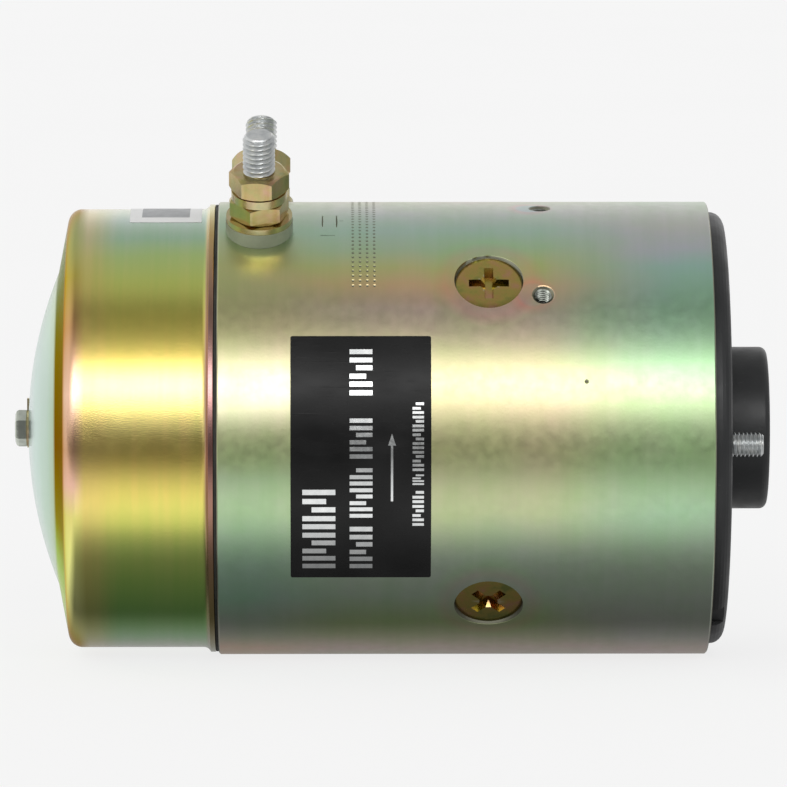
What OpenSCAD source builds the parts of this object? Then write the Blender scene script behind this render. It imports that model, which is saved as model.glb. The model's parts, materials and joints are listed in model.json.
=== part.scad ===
// Series-wound four-pole direct-current motor for driving a hydraulic pump.
// The shaft lies along X. X = 0 is the flat mounting face at the drive end, and +X points out of it.
// Angles about the shaft run from +Y (0) through +Z (90) to -Y (180).

/* [Yoke tube] */
// Outside diameter of the steel yoke tube
yoke_d = 114; // [113.5:0.1:114.5]
// Wall thickness of the yoke tube
yoke_wall = 5.5; // [5.4:0.1:5.6]
// Length of the yoke tube
yoke_l = 122.6; // [122:0.1:123]

/* [Drive end] */
// Diameter of the drive-end plate
plate_d = 108.8; // [108:0.1:110]
// Thickness of the drive-end plate outside the yoke
plate_t = 4.2; // [4:0.1:4.5]
// Diameter of the pilot hub
hub_d = 40.8; // [40.4:0.1:41.2]
// Height of the pilot hub above the mounting face
hub_h = 11.1; // [11:0.1:12]
// Pitch circle diameter of the through bolts
bolt_pcd = 92; // [91.6:0.1:92.4]
// Thread diameter of the through bolts
bolt_d = 6; // [5.8:0.1:6]
// Length of bolt that stands out of the mounting face
bolt_out = 7.8; // [6:0.1:10]

/* [End cap] */
// Outside diameter of the cup-shaped end cap
cap_d = 110.4; // [110:0.1:110.8]
// Sheet thickness of the end cap
cap_sheet = 1.4; // [1.2:0.1:1.5]
// Outside diameter of the flared lip of the end cap
cap_lip_d = 112.8; // [112.4:0.1:113.2]
// Axial thickness of the seam ring between cap and yoke
gasket_t = 1.5; // [1.4:0.1:1.6]
// Spherical radius of the domed centre of the end cap
dome_r = 103; // [100:1:106]

/* [Terminals] */
// Angle of each terminal from vertical
terminal_angle = 25.3; // [24:0.1:27]
// Distance of the terminal centres from the yoke's commutator end
terminal_inset = 10.4; // [10.3:0.1:10.6]
// Thread diameter of the terminal studs
stud_d = 8; // [7.8:0.1:8]
// Distance from the shaft axis to the tip of a terminal stud
stud_tip_r = 84; // [82:0.5:86]

/* [Poles and armature] */
// Distance of the pole screws from the yoke's commutator end
pole_screw_inset = 67.1; // [66.5:0.1:67.5]
// Axial length of the pole shoes and of the armature core
core_l = 60; // [58:1:60]
// Diameter of the armature core
core_d = 65; // [64.6:0.1:65.2]
// Radial air gap under the pole shoes
air_gap = 0.8; // [0.6:0.1:1]
// Number of armature slots and of commutator bars
bar_count = 21; // [19:2:23]
// Diameter of the commutator surface
commutator_d = 44; // [43.8:0.1:44.1]
// Free travel of a brush when it is lifted in its holder
brush_lift = 4; // [3:0.5:4]

/* [Bracket holes] */
// Wall radius of the two tapped bracket holes
bracket_hole_r = 2.1; // [2:0.05:2.5]
// Distance of the tapped bracket holes from the mounting face
bracket_hole_x = 46.4; // [46:0.1:47]

/* [Hidden] */
$fn = 96;

// Small gap that keeps touching round faces apart
fit_gap = 0.02;

yoke_r = yoke_d / 2;
bore_r = yoke_r - yoke_wall;
plate_r = plate_d / 2;
hub_r = hub_d / 2;
yoke_x1 = -plate_t;
yoke_x0 = yoke_x1 - yoke_l;
seam_x = yoke_x0 - gasket_t;
spigot_r = bore_r - 0.05;

// Pole shoes stand at these angles
pole_angles = [45, 135, 225, 315];
bolt_angles = [0, 180];
bolt_r = bolt_d / 2;
bolt_shank_r = bolt_r - 0.25;
bolt_hole_r = bolt_r + 0.3;
bolt_circle_r = bolt_pcd / 2;
bolt_head_af = 10;
bolt_head_h = 4;
bolt_washer_t = 1.6;

pole_x = yoke_x0 + pole_screw_inset;
core_x0 = pole_x - core_l / 2;
core_x1 = pole_x + core_l / 2;
core_r = core_d / 2;
pole_face_r = core_r + air_gap;
pole_tip_t = 4.2;
pole_half_angle = 32;
pole_body_w = 26;
pole_back_r = bore_r - fit_gap;

pole_screw_d = 8;
pole_head_d = 16.5;
pole_head_r_pos = yoke_r - 1.1;
pole_head_lip = 0.6;
pole_pocket_gap = 0.3;
cone_h = (pole_head_d - pole_screw_d) / 2;

coil_gap = 0.4;
coil_w = 7.2;
coil_corner = 5;
coil_inner_r = 38.2;

terminal_x = yoke_x0 + terminal_inset;
terminal_angles = [90 - terminal_angle, 90 + terminal_angle];
stud_r = stud_d / 2;
stud_seat_r = stud_r - 0.2;
stud_head_r = 6;
stud_head_bottom = 45.6;
stud_head_top = 49.2;
inner_washer_r = 6.5;
inner_washer_top = 51;
bush_flange_r = 8.35;
bush_neck_r = 6.1;
bush_hole_r = 6.15;
bush_top = 60;
washer_r = 8.2;
washer_top = bush_top + 1.5;
lower_nut_top = washer_top + 5;
spring_washer_top = lower_nut_top + 2.1;
upper_nut_top = spring_washer_top + 5.3;
nut_af = 13;

bracket_hole_angles = [100.3, 139.6];
bracket_hole_chamfer = 0.8;
punch_mark_x = -36;
punch_mark_angle = 163.3;
drain_angle = 235.4;
drain_w = 7.9;
drain_depth = 1.2;

// Deep-groove ball bearings: bore radius, outside radius, width, ball radius, pitch radius
drive_bearing = [7.5, 17.5, 11, 2.975, 12.5];
rear_bearing = [5, 15, 9, 2.38, 10];
ball_count = 8;
drive_bearing_x = -11;
rear_bearing_x = -161;
circlip_t = 1.1;
seal_x0 = 3.5;
seal_x1 = 10.5;
seal_r = 14;
web_r = 10;

shaft_r = 7.5;
journal_r = 9;
rear_shaft_r = 8;
shaft_tip_x = 9.5;
shaft_rear_x = -161.6;
drive_slot_w = 6;
drive_slot_depth = 8;

slot_w = 4.5;
slot_bottom_r = 21.5;
slot_neck_r = 31.2;
slot_neck_w = 2.4;
end_turn_r = 31;
end_turn_overhang = 12;

commutator_r = commutator_d / 2;
commutator_x0 = -150.5;
commutator_x1 = -124;
riser_x = -120.5;
riser_r = 27.5;
bar_bottom_r = 13.5;
mica_angle = 2;

brush_angles = pole_angles;
brush_contact_gap = 0.1;
brush_tangential = 9;
brush_axial = 16;
brush_x = -140;
brush_top_r = 35;
holder_wall = 1.2;
holder_clear = 0.15;
holder_bottom_r = 24;
holder_top_r = 46.3;
holder_roof = 1;
lead_slot_w = 3;
lead_r = 0.9;
brush_plate_t = 1.6;

bracket_wall_r = 49.7;
bracket_wall_t = 2.5;
bracket_end_x = -155;
bracket_end_t = 3;
bracket_hub_r = 18.5;
bracket_pocket_x = -163.2;
bracket_back_x = -166.2;
cap_screw_r = 2.5;

cap_r = cap_d / 2;
cap_lip_r = cap_lip_d / 2;
cap_corner_r = 3.4;
cap_corner_x = -161.16;
dome_apex_x = -174.86;
dome_centre_x = dome_apex_x + dome_r;
dome_edge_r = 39.5;
cap_seat_r = 6;
cap_seat_x = dome_centre_x - sqrt(dome_r * dome_r - cap_seat_r * cap_seat_r);
lock_washer_t = 0.5;
cap_head_h = 3;
cap_head_af = 8;

label_t = 0.12;
label_x0 = -108.6;
label_x1 = -74.1;
sticker_x0 = -148.8;
sticker_x1 = -130.9;

zinc_gold = [0.66, 0.62, 0.38];
zinc_silver = [0.7, 0.71, 0.72];
copper = [0.78, 0.45, 0.25];
bare_steel = [0.62, 0.63, 0.65];
enamel_black = [0.1, 0.1, 0.1];

// ---------- Geometry helpers ----------

// Turns the local Z axis to the shaft axis: local X becomes Y and local Y becomes Z.
module axial(x = 0) {
  translate([x, 0, 0]) rotate([90, 0, 90]) children();
}

// Solid of revolution about the shaft from [radius, x] points, over a sweep that starts at angle a0.
module turned(profile, a0 = 0, sweep = 360) {
  axial() rotate([0, 0, a0]) rotate_extrude(angle = sweep) polygon(profile);
}

module ring(outer, inner, x0, x1) {
  turned([[inner, x0], [outer, x0], [outer, x1], [inner, x1]]);
}

module rod(r, x0, x1) {
  axial(x0) cylinder(r = r, h = x1 - x0);
}

// Extrudes a flat outline, drawn in Y and Z, from x0 to x1.
module along_x(x0, x1) {
  axial(x0) linear_extrude(x1 - x0) children();
}

// Puts the local origin on the shaft axis at x, with local Z pointing outwards at the angle.
module radial(angle, x) {
  rotate([angle, 0, 0]) translate([x, 0, 0]) rotate([-90, 0, 0]) children();
}

// Copies a child to each bolt position.
module at_bolts() {
  for (a = bolt_angles) rotate([a, 0, 0]) translate([0, bolt_circle_r, 0]) children();
}

module tube(outer, inner, z0, z1) {
  translate([0, 0, z0]) difference() {
    cylinder(r = outer, h = z1 - z0);
    translate([0, 0, -1]) cylinder(r = inner, h = z1 - z0 + 2);
  }
}

// Hexagonal prism by its width across flats.
module hexagon(across_flats, h) {
  cylinder(d = across_flats / cos(30), h = h, $fn = 6);
}

// Hexagon nut with a 30 degree chamfer round both ends.
module nut(across_flats, hole_r, z0, z1, turn = 0) {
  beyond_r = across_flats / cos(30) / 2 + 0.3;
  face_r = across_flats / 2 - 0.3;
  drop = (beyond_r - face_r) * tan(30);
  h = z1 - z0;
  translate([0, 0, z0]) difference() {
    intersection() {
      rotate([0, 0, turn]) hexagon(across_flats, h);
      rotate_extrude() polygon([
        [0, 0], [face_r, 0], [beyond_r, drop], [beyond_r, h - drop], [face_r, h], [0, h]
      ]);
    }
    translate([0, 0, -1]) cylinder(r = hole_r, h = h + 2);
  }
}

// Points along an arc about [cx, cy].
function arc(cx, cy, r, a0, a1, steps) =
  [for (i = [0:steps]) let (a = a0 + (a1 - a0) * i / steps) [cx + r * cos(a), cy + r * sin(a)]];

// Outline of a rectangle with rounded corners.
function rounded_rectangle(w, h, r, steps = 5) = concat(
  arc(w / 2 - r, h / 2 - r, r, 0, 90, steps), arc(r - w / 2, h / 2 - r, r, 90, 180, steps),
  arc(r - w / 2, r - h / 2, r, 180, 270, steps), arc(w / 2 - r, r - h / 2, r, 270, 360, steps)
);

function unit(v) = v / norm(v);

// Closed round tube swept along a path; hint is a direction that the path never takes.
module swept(path, r, sides, hint) {
  n = len(path);
  tangents = [for (i = [0:n - 1]) unit(path[min(i + 1, n - 1)] - path[max(i - 1, 0)])];
  points = [
    for (i = [0:n - 1]) let (u = unit(cross(hint, tangents[i])), v = cross(tangents[i], u))
      for (j = [0:sides - 1]) path[i] + r * (cos(360 * j / sides) * u + sin(360 * j / sides) * v)
  ];
  walls = [
    for (i = [0:n - 2]) for (j = [0:sides - 1]) let (k = (j + 1) % sides)
      [i * sides + j, (i + 1) * sides + j, (i + 1) * sides + k, i * sides + k]
  ];
  start = [for (j = [0:sides - 1]) j];
  end = [for (j = [sides - 1:-1:0]) (n - 1) * sides + j];
  polyhedron(points, concat(walls, [start], [end]));
}

// ---------- Yoke, shields and cap ----------

module yoke_tube() color(zinc_gold) {
  edge = 0.4;
  difference() {
    turned([
      [bore_r, yoke_x0], [yoke_r - edge, yoke_x0], [yoke_r, yoke_x0 + edge],
      [yoke_r, yoke_x1 - edge], [yoke_r - edge, yoke_x1], [bore_r, yoke_x1]
    ]);
    for (a = pole_angles) radial(a, pole_x) pole_screw_pocket();
    for (a = terminal_angles) radial(a, terminal_x) translate([0, 0, bore_r - 2])
      cylinder(r = bush_hole_r, h = yoke_wall + 4);
    for (a = bracket_hole_angles) radial(a, -bracket_hole_x) {
      translate([0, 0, bore_r - 2]) cylinder(r = bracket_hole_r, h = yoke_wall + 4);
      translate([0, 0, yoke_r - bracket_hole_chamfer])
        cylinder(r1 = bracket_hole_r, r2 = bracket_hole_r + 1.2, h = 1.2);
    }
    radial(punch_mark_angle, punch_mark_x) translate([0, 0, yoke_r - 0.4])
      cylinder(r1 = 0.1, r2 = 0.8, h = 0.6);
  }
}

// Countersink and hole that a pole screw sits in.
module pole_screw_pocket() {
  translate([0, 0, bore_r - 2]) cylinder(d = pole_screw_d + 0.4, h = yoke_wall + 4);
  pole_screw_cone();
  translate([0, 0, pole_head_r_pos - pole_head_lip])
    cylinder(r = pole_head_d / 2 + pole_pocket_gap, h = 4);
}

// Countersink under a pole screw's head; its tip runs into the back of the pole shoe.
module pole_screw_cone() {
  translate([0, 0, pole_head_r_pos - pole_head_lip - cone_h])
    cylinder(d1 = pole_screw_d + 2 * fit_gap, d2 = pole_head_d + 2 * fit_gap, h = cone_h);
}

module drive_end_shield() color(enamel_black) {
  plate_corner = 3.4;
  hub_corner = 1.8;
  boss_r = 21.5;
  boss_x = -14;
  spigot_l = 6;
  spigot_t = 5;
  seat_r = drive_bearing[1] + fit_gap;
  difference() {
    union() {
      turned(concat(
        [[web_r, boss_x], [boss_r, boss_x], [boss_r, yoke_x1 - 0.01], [spigot_r - spigot_t, yoke_x1 - 0.01]],
        [[spigot_r - spigot_t, yoke_x1 - spigot_l], [spigot_r, yoke_x1 - spigot_l], [spigot_r, yoke_x1]],
        [[plate_r, yoke_x1]],
        arc(plate_r - plate_corner, -plate_corner, plate_corner, 0, 90, 6),
        [[hub_r, 0]],
        arc(hub_r - hub_corner, hub_h - hub_corner, hub_corner, 0, 90, 5),
        [[web_r, hub_h]]
      ));
    }
    rod(seat_r, boss_x - 1, drive_bearing_x + drive_bearing[2]);
    rod(seat_r + 0.95, drive_bearing_x - circlip_t - 0.05, drive_bearing_x);
    rod(seal_r + fit_gap, seal_x0, hub_h + 1);
    at_bolts() rod(bolt_hole_r, yoke_x1 - 10, 1);
    drain_notch();
  }
}

// Notch in the rim of the drive-end plate that lets water out.
module drain_notch() {
  rotate([drain_angle, 0, 0])
    translate([yoke_x1 - 0.01, plate_r - drain_depth, -drain_w / 2]) cube([plate_t + 1, 5, drain_w]);
}

module commutator_end_bracket() color("dimgray") {
  spigot_l = 3.4;
  window_half = 31;
  inner_r = bracket_wall_r - bracket_wall_t;
  flange_inner_r = 41;
  flange_r = 54.5;
  hub_root_x = -151.6;
  difference() {
    turned([
      [flange_inner_r, seam_x], [inner_r, seam_x], [inner_r, bracket_end_x + bracket_end_t],
      [bracket_hub_r, bracket_end_x + bracket_end_t], [bracket_hub_r, hub_root_x],
      [rear_bearing[1] + fit_gap, hub_root_x], [rear_bearing[1] + fit_gap, bracket_pocket_x],
      [cap_screw_r, bracket_pocket_x], [cap_screw_r, cap_seat_x + cap_sheet],
      [cap_seat_r - 0.5, cap_seat_x + cap_sheet], [cap_seat_r - 0.5, bracket_back_x],
      [bracket_hub_r, bracket_back_x], [bracket_hub_r, bracket_end_x],
      [bracket_wall_r, bracket_end_x], [bracket_wall_r, seam_x], [flange_r, seam_x],
      [flange_r, yoke_x0], [spigot_r, yoke_x0], [spigot_r, yoke_x0 + spigot_l],
      [spigot_r - 3.5, yoke_x0 + spigot_l], [spigot_r - 3.5, yoke_x0], [flange_inner_r, yoke_x0]
    ]);
    // Windows between the four arms
    for (a = [0, 90, 180, 270]) along_x(bracket_end_x - 1, seam_x) window_sector(a, window_half);
    at_bolts() rod(bolt_hole_r, seam_x - 1, yoke_x0 + spigot_l + 1);
  }
}

// Sector of a ring that is cut out between two arms of the bracket.
module window_sector(a, half) {
  outer = bracket_wall_r + 3;
  reach = outer / cos(half);
  difference() {
    intersection() {
      circle(r = outer);
      polygon([
        [0, 0], [reach * cos(a - half), reach * sin(a - half)],
        [reach * 1.2 * cos(a), reach * 1.2 * sin(a)], [reach * cos(a + half), reach * sin(a + half)]
      ]);
    }
    circle(r = bracket_hub_r + 6);
  }
}

// Wall of the end cap from lip to seat, at a depth under its outer face.
function cap_curve(depth) = concat(
  arc(cap_r - cap_corner_r, cap_corner_x, cap_corner_r - depth, 0, -78.8, 6),
  let (edge = asin(dome_edge_r / dome_r), seat = asin(cap_seat_r / dome_r), steps = 12)
  [for (i = [0:steps]) let (a = edge + (seat - edge) * i / steps)
    [(dome_r - depth) * sin(a), dome_centre_x - (dome_r - depth) * cos(a)]]
);

function reversed(list) = [for (i = [len(list) - 1:-1:0]) list[i]];

module end_cap() color(zinc_gold) {
  lip_t = 1.2;
  flare = cap_lip_r - cap_r;
  hole_r = cap_screw_r + 0.2;
  outer = concat(
    [[cap_lip_r, seam_x], [cap_lip_r, seam_x - lip_t]],
    arc(cap_lip_r, seam_x - lip_t - flare, flare, 90, 180, 4),
    cap_curve(0),
    [[hole_r, cap_seat_x]]
  );
  inner = concat(
    [[cap_r - cap_sheet, seam_x]],
    cap_curve(cap_sheet),
    [[hole_r, cap_seat_x + cap_sheet]]
  );
  turned(concat(outer, reversed(inner)));
}

module cap_gasket() color([0.16, 0.16, 0.13]) {
  ring(yoke_r - 0.3, 54.6, seam_x, yoke_x0);
}

module cap_lock_washer() color(zinc_gold) {
  teeth = 12;
  tooth_in = 4.3;
  tooth_out = 4.9;
  tab_reach = 7.6;
  hole_r = cap_screw_r + 0.1;
  along_x(cap_seat_x - lock_washer_t, cap_seat_x) difference() {
    union() {
      polygon([for (i = [0:2 * teeth - 1]) let (r = i % 2 == 0 ? tooth_out : tooth_in)
        [r * cos(180 * i / teeth), r * sin(180 * i / teeth)]]);
      translate([-1, 0]) square([2, tab_reach]);
    }
    circle(r = hole_r);
  }
}

module cap_screw() color(zinc_gold) {
  under_x = cap_seat_x - lock_washer_t;
  beyond_r = cap_head_af / cos(30) / 2 + 0.3;
  face_r = cap_head_af / 2 - 1;
  chamfer_h = 0.8;
  tip_x = -165;
  union() {
    intersection() {
      axial(under_x - cap_head_h) hexagon(cap_head_af, cap_head_h);
      turned([
        [0, under_x], [beyond_r, under_x], [beyond_r, under_x - cap_head_h + chamfer_h],
        [face_r, under_x - cap_head_h], [0, under_x - cap_head_h]
      ]);
    }
    rod(cap_screw_r - fit_gap, under_x - 0.01, tip_x);
  }
}

module through_bolts() color(zinc_silver) {
  under_x = seam_x - bolt_washer_t;
  tip = 0.7;
  at_bolts() union() {
    axial(under_x - bolt_head_h) hexagon(bolt_head_af, bolt_head_h);
    turned([
      [0, under_x - 0.01], [bolt_shank_r, under_x - 0.01], [bolt_shank_r, 0],
      [bolt_r, 0], [bolt_r, bolt_out - tip], [bolt_r - tip, bolt_out], [0, bolt_out]
    ]);
  }
}

module through_bolt_washers() color(zinc_silver) {
  at_bolts() split_ring_x(5.4, bolt_r + 0.15, seam_x - bolt_washer_t, seam_x);
}

// Spring washer with its cut, lying across the shaft direction.
module split_ring_x(outer, inner, x0, x1) {
  difference() {
    ring(outer, inner, x0, x1);
    translate([x0 - 1, 0, -0.5]) cube([x1 - x0 + 2, outer + 1, 1]);
  }
}

// ---------- Field system ----------

module pole_shoe(number) color(bare_steel) {
  screw_hole_r = pole_screw_d / 2 + fit_gap;
  tip_r = pole_face_r + pole_tip_t;
  reach = tip_r / cos(pole_half_angle) + 2;
  a = pole_angles[number - 1];
  difference() {
    along_x(core_x0, core_x1) rotate([0, 0, a]) {
      intersection() {
        difference() {
          circle(r = tip_r);
          circle(r = pole_face_r);
        }
        polygon([
          [0, 0], [reach * cos(pole_half_angle), -reach * sin(pole_half_angle)],
          [reach * 1.2, 0], [reach * cos(pole_half_angle), reach * sin(pole_half_angle)]
        ]);
      }
      intersection() {
        circle(r = pole_back_r);
        translate([tip_r - 1.5, -pole_body_w / 2]) square([20, pole_body_w]);
      }
    }
    radial(a, pole_x) {
      translate([0, 0, tip_r + 1]) cylinder(r = screw_hole_r, h = 20);
      pole_screw_cone();
    }
  }
}

module pole_screws() color(zinc_gold) {
  for (a = pole_angles) radial(a, pole_x) pole_screw(pole_screw_turn(a));
}

// The upper screws end with their cross in line with the shaft, and the lower ones turned by 45 degrees.
function pole_screw_turn(a) = a < 180 ? 0 : 45;

module pole_screw(turn) {
  cross_w = 9.4;
  cross_t = 1.9;
  cross_depth = 2.6;
  shank_bottom = pole_face_r + pole_tip_t + 1.6;
  difference() {
    rotate_extrude() polygon([
      [0, shank_bottom], [pole_screw_d / 2, shank_bottom],
      [pole_screw_d / 2, pole_head_r_pos - pole_head_lip - cone_h],
      [pole_head_d / 2, pole_head_r_pos - pole_head_lip],
      [pole_head_d / 2, pole_head_r_pos], [0, pole_head_r_pos]
    ]);
    rotate([0, 0, turn]) for (t = [0, 90]) rotate([0, 0, t])
      translate([-cross_w / 2, -cross_t / 2, pole_head_r_pos - cross_depth])
        cube([cross_w, cross_t, cross_depth + 1]);
  }
}

module field_coil(number) color([0.75, 0.72, 0.62]) {
  hole_w = pole_body_w + 2 * coil_gap;
  hole_l = core_l + 2 * coil_gap;
  coil_r = bore_r - 0.3;
  intersection() {
    rotate([pole_angles[number - 1], 0, 0]) translate([pole_x, 0, 0]) rotate([-90, 0, 0])
      translate([0, 0, coil_inner_r]) linear_extrude(bore_r - coil_inner_r) difference() {
        polygon(rounded_rectangle(hole_l + 2 * coil_w, hole_w + 2 * coil_w, coil_corner));
        square([hole_l, hole_w], center = true);
      }
    rod(coil_r, core_x0 - 30, core_x1 + 30);
  }
}

module field_links() color(copper) {
  link_x0 = -107.4;
  link_x1 = core_x0 - coil_w - coil_gap - 0.02;
  link_r0 = 39;
  link_r1 = 41;
  strap_r0 = 44.1;
  strap_r1 = stud_head_bottom;
  strap_x1 = terminal_x + 5;
  // Links that join neighbouring coils
  for (a = [135, 225, 315]) turned([
    [link_r0, link_x0], [link_r1, link_x0], [link_r1, link_x1], [link_r0, link_x1]
  ], a + 8, 74);
  // Straps from the terminal stud heads to the first and the last coil
  for (side = [-1, 1]) turned([
    [strap_r0, strap_x1 - 10], [strap_r1 - 0.05, strap_x1 - 10], [strap_r1 - 0.05, link_x1], [strap_r0, link_x1]
  ], side < 0 ? 50 : 110, 20);
}

// ---------- Terminals ----------

module at_terminals() {
  for (a = terminal_angles) radial(a, terminal_x) children();
}

module terminal_studs() color(zinc_silver) {
  tip = 0.9;
  at_terminals() rotate_extrude() polygon([
    [0, stud_head_bottom], [stud_head_r, stud_head_bottom], [stud_head_r, stud_head_top],
    [stud_seat_r, stud_head_top], [stud_seat_r, upper_nut_top], [stud_r, upper_nut_top],
    [stud_r, stud_tip_r - tip], [stud_r - tip, stud_tip_r], [0, stud_tip_r]
  ]);
}

module terminal_bushes() color([0.45, 0.48, 0.4]) {
  difference() {
    at_terminals() difference() {
      union() {
        translate([0, 0, bore_r + 3]) cylinder(r = bush_flange_r, h = bush_top - bore_r - 3);
        translate([0, 0, inner_washer_top + 0.02]) cylinder(r = bush_neck_r, h = yoke_wall);
      }
      translate([0, 0, bore_r - 5]) cylinder(r = stud_r + 0.05, h = 20);
    }
    // Underside of the flange follows the yoke, and the neck passes through its hole
    difference() {
      rod(yoke_r + fit_gap, terminal_x - 20, terminal_x + 20);
      at_terminals() cylinder(r = bush_neck_r, h = yoke_r + 2);
    }
  }
}

module terminal_inner_washers() color([0.75, 0.72, 0.62]) {
  at_terminals() tube(inner_washer_r, stud_r + 0.05, stud_head_top, inner_washer_top);
}

module terminal_plain_washers() color(zinc_gold) {
  at_terminals() tube(washer_r, stud_r + 0.2, bush_top, washer_top);
}

module terminal_lower_nuts() color(zinc_gold) {
  at_terminals() nut(nut_af, stud_seat_r + fit_gap, washer_top, lower_nut_top, 13);
}

module terminal_spring_washers() color(zinc_gold) {
  at_terminals() difference() {
    tube(6.9, stud_r + 0.15, lower_nut_top, spring_washer_top);
    translate([0, -0.7, lower_nut_top - 1]) cube([10, 1.4, 5]);
  }
}

module terminal_upper_nuts() color(zinc_gold) {
  at_terminals() nut(nut_af, stud_seat_r + fit_gap, spring_washer_top, upper_nut_top, -5);
}

// ---------- Brush gear ----------

module brush_plate() color([0.5, 0.3, 0.16]) {
  bolt_clear_r = 7.5;
  difference() {
    ring(bracket_wall_r - bracket_wall_t - 0.1, commutator_r + 3, seam_x - brush_plate_t, seam_x);
    at_bolts() rod(bolt_clear_r, seam_x - 5, seam_x + 5);
  }
}

module brush_holders() color("goldenrod") {
  outer_w = brush_tangential + 2 * (holder_clear + holder_wall);
  inner_w = brush_tangential + 2 * holder_clear;
  inner_l = brush_axial + 2 * holder_clear;
  front_x = brush_x - inner_l / 2 - holder_wall;
  back_x = seam_x - brush_plate_t;
  for (a = brush_angles) radial(a, brush_x) difference() {
    translate([front_x - brush_x, -outer_w / 2, holder_bottom_r])
      cube([back_x - front_x, outer_w, holder_top_r - holder_bottom_r]);
    translate([-inner_l / 2, -inner_w / 2, holder_bottom_r - 1])
      cube([inner_l, inner_w, holder_top_r - holder_roof - holder_bottom_r + 1]);
    translate([-inner_l / 2 - 3, -lead_slot_w / 2, 29]) cube([5, lead_slot_w, 11]);
  }
}

module brush(number) color([0.22, 0.21, 0.2]) {
  difference() {
    radial(brush_angles[number - 1], brush_x)
      translate([-brush_axial / 2, -brush_tangential / 2, commutator_r - 1])
        cube([brush_axial, brush_tangential, brush_top_r - commutator_r + 1]);
    rod(commutator_r + brush_contact_gap, commutator_x0 - 2, commutator_x1 + 2);
  }
}

// Coil spring between the brush and the roof of its holder.
module brush_spring(number) color(bare_steel) {
  wire_r = 0.45;
  coil_r = 3;
  turns = 4;
  steps = 48;
  z0 = brush_top_r + wire_r + 0.1;
  z1 = holder_top_r - holder_roof - wire_r - 0.1;
  path = [for (i = [0:steps]) let (a = 360 * turns * i / steps)
    [coil_r * cos(a), coil_r * sin(a), z0 + (z1 - z0) * i / steps]];
  radial(brush_angles[number - 1], brush_x) swept(path, wire_r, 6, [0, 0, 1]);
}

// Stranded lead from the front of the brush, round its holder and down to the brush plate.
lead_route = [
  [-8.1, 0, 33], [-9.6, 0, 33], [-10.6, 0.8, 33.6], [-10.9, 3, 34.4], [-10.8, 6, 35.2],
  [-10, 8.2, 35.8], [-8, 9.4, 36.2], [-4, 9.6, 36.4], [2, 9.6, 36.4], [7, 9.6, 36.4], [10, 9.6, 36.4]
];

module brush_lead(number) color(copper) {
  radial(brush_angles[number - 1], brush_x) swept(lead_route, lead_r, 8, [0.1, 0.25, 1]);
}

// ---------- Bearings, seal and rings ----------

module bearing_outer_ring(size, x0) color(bare_steel) {
  shoulder_r = size[4] + size[3] * 0.55;
  difference() {
    ring(size[1], shoulder_r, x0, x0 + size[2]);
    race_groove(size, x0);
  }
}

module bearing_inner_ring(size, x0) color(bare_steel) {
  shoulder_r = size[4] - size[3] * 0.55;
  difference() {
    ring(shoulder_r, size[0], x0, x0 + size[2]);
    race_groove(size, x0);
  }
}

module race_groove(size, x0) {
  race_clear = 0.04;
  axial(x0 + size[2] / 2) rotate_extrude() translate([size[4], 0]) circle(r = size[3] + race_clear);
}

module at_balls(size, x0) {
  for (i = [0:ball_count - 1]) rotate([360 * i / ball_count, 0, 0])
    translate([x0 + size[2] / 2, size[4], 0]) children();
}

module bearing_balls(size, x0) color("silver") {
  at_balls(size, x0) sphere(r = size[3]);
}

module bearing_cage(size, x0) color("khaki") {
  half_w = size[3] * 1.18;
  half_t = size[3] * 0.33;
  middle = x0 + size[2] / 2;
  difference() {
    ring(size[4] + half_t, size[4] - half_t, middle - half_w, middle + half_w);
    at_balls(size, x0) translate([0, -size[4] + 1, 0]) rotate([-90, 0, 0])
      cylinder(r = size[3] + 0.06, h = size[4] + 4);
  }
}

module bearing_circlip() color(bare_steel) {
  outer = drive_bearing[1] + 0.9;
  gap_half = 14;
  lug_r = 1.9;
  lug_angle = gap_half + 6;
  x0 = drive_bearing_x - circlip_t;
  along_x(x0, drive_bearing_x) difference() {
    union() {
      difference() {
        circle(r = outer);
        circle(r = outer - 3);
        polygon([[0, 0], [30, -30 * tan(gap_half)], [30, 30 * tan(gap_half)]]);
      }
      for (s = [-1, 1]) rotate([0, 0, s * lug_angle]) translate([outer - 3.4, 0]) circle(r = lug_r);
    }
    for (s = [-1, 1]) rotate([0, 0, s * lug_angle]) translate([outer - 3.4, 0]) circle(r = 0.9);
  }
}

module shaft_seal() color([0.12, 0.12, 0.13]) {
  lip_r = shaft_r + 0.08;
  turned([
    [lip_r, seal_x0 + 3], [lip_r + 1.5, seal_x0], [seal_r, seal_x0], [seal_r, seal_x1 - 0.5],
    [seal_r - 0.5, seal_x1], [lip_r + 1.2, seal_x1], [lip_r + 1.2, seal_x1 - 1.2], [lip_r, seal_x0 + 3.6]
  ]);
}

module preload_washer() color(bare_steel) {
  sheet = 0.5;
  turned([
    [11.6, bracket_pocket_x], [11.6, bracket_pocket_x + sheet],
    [14.6, rear_bearing_x - 0.02], [14.6, rear_bearing_x - sheet - 0.02]
  ]);
}

// ---------- Armature ----------

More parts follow.
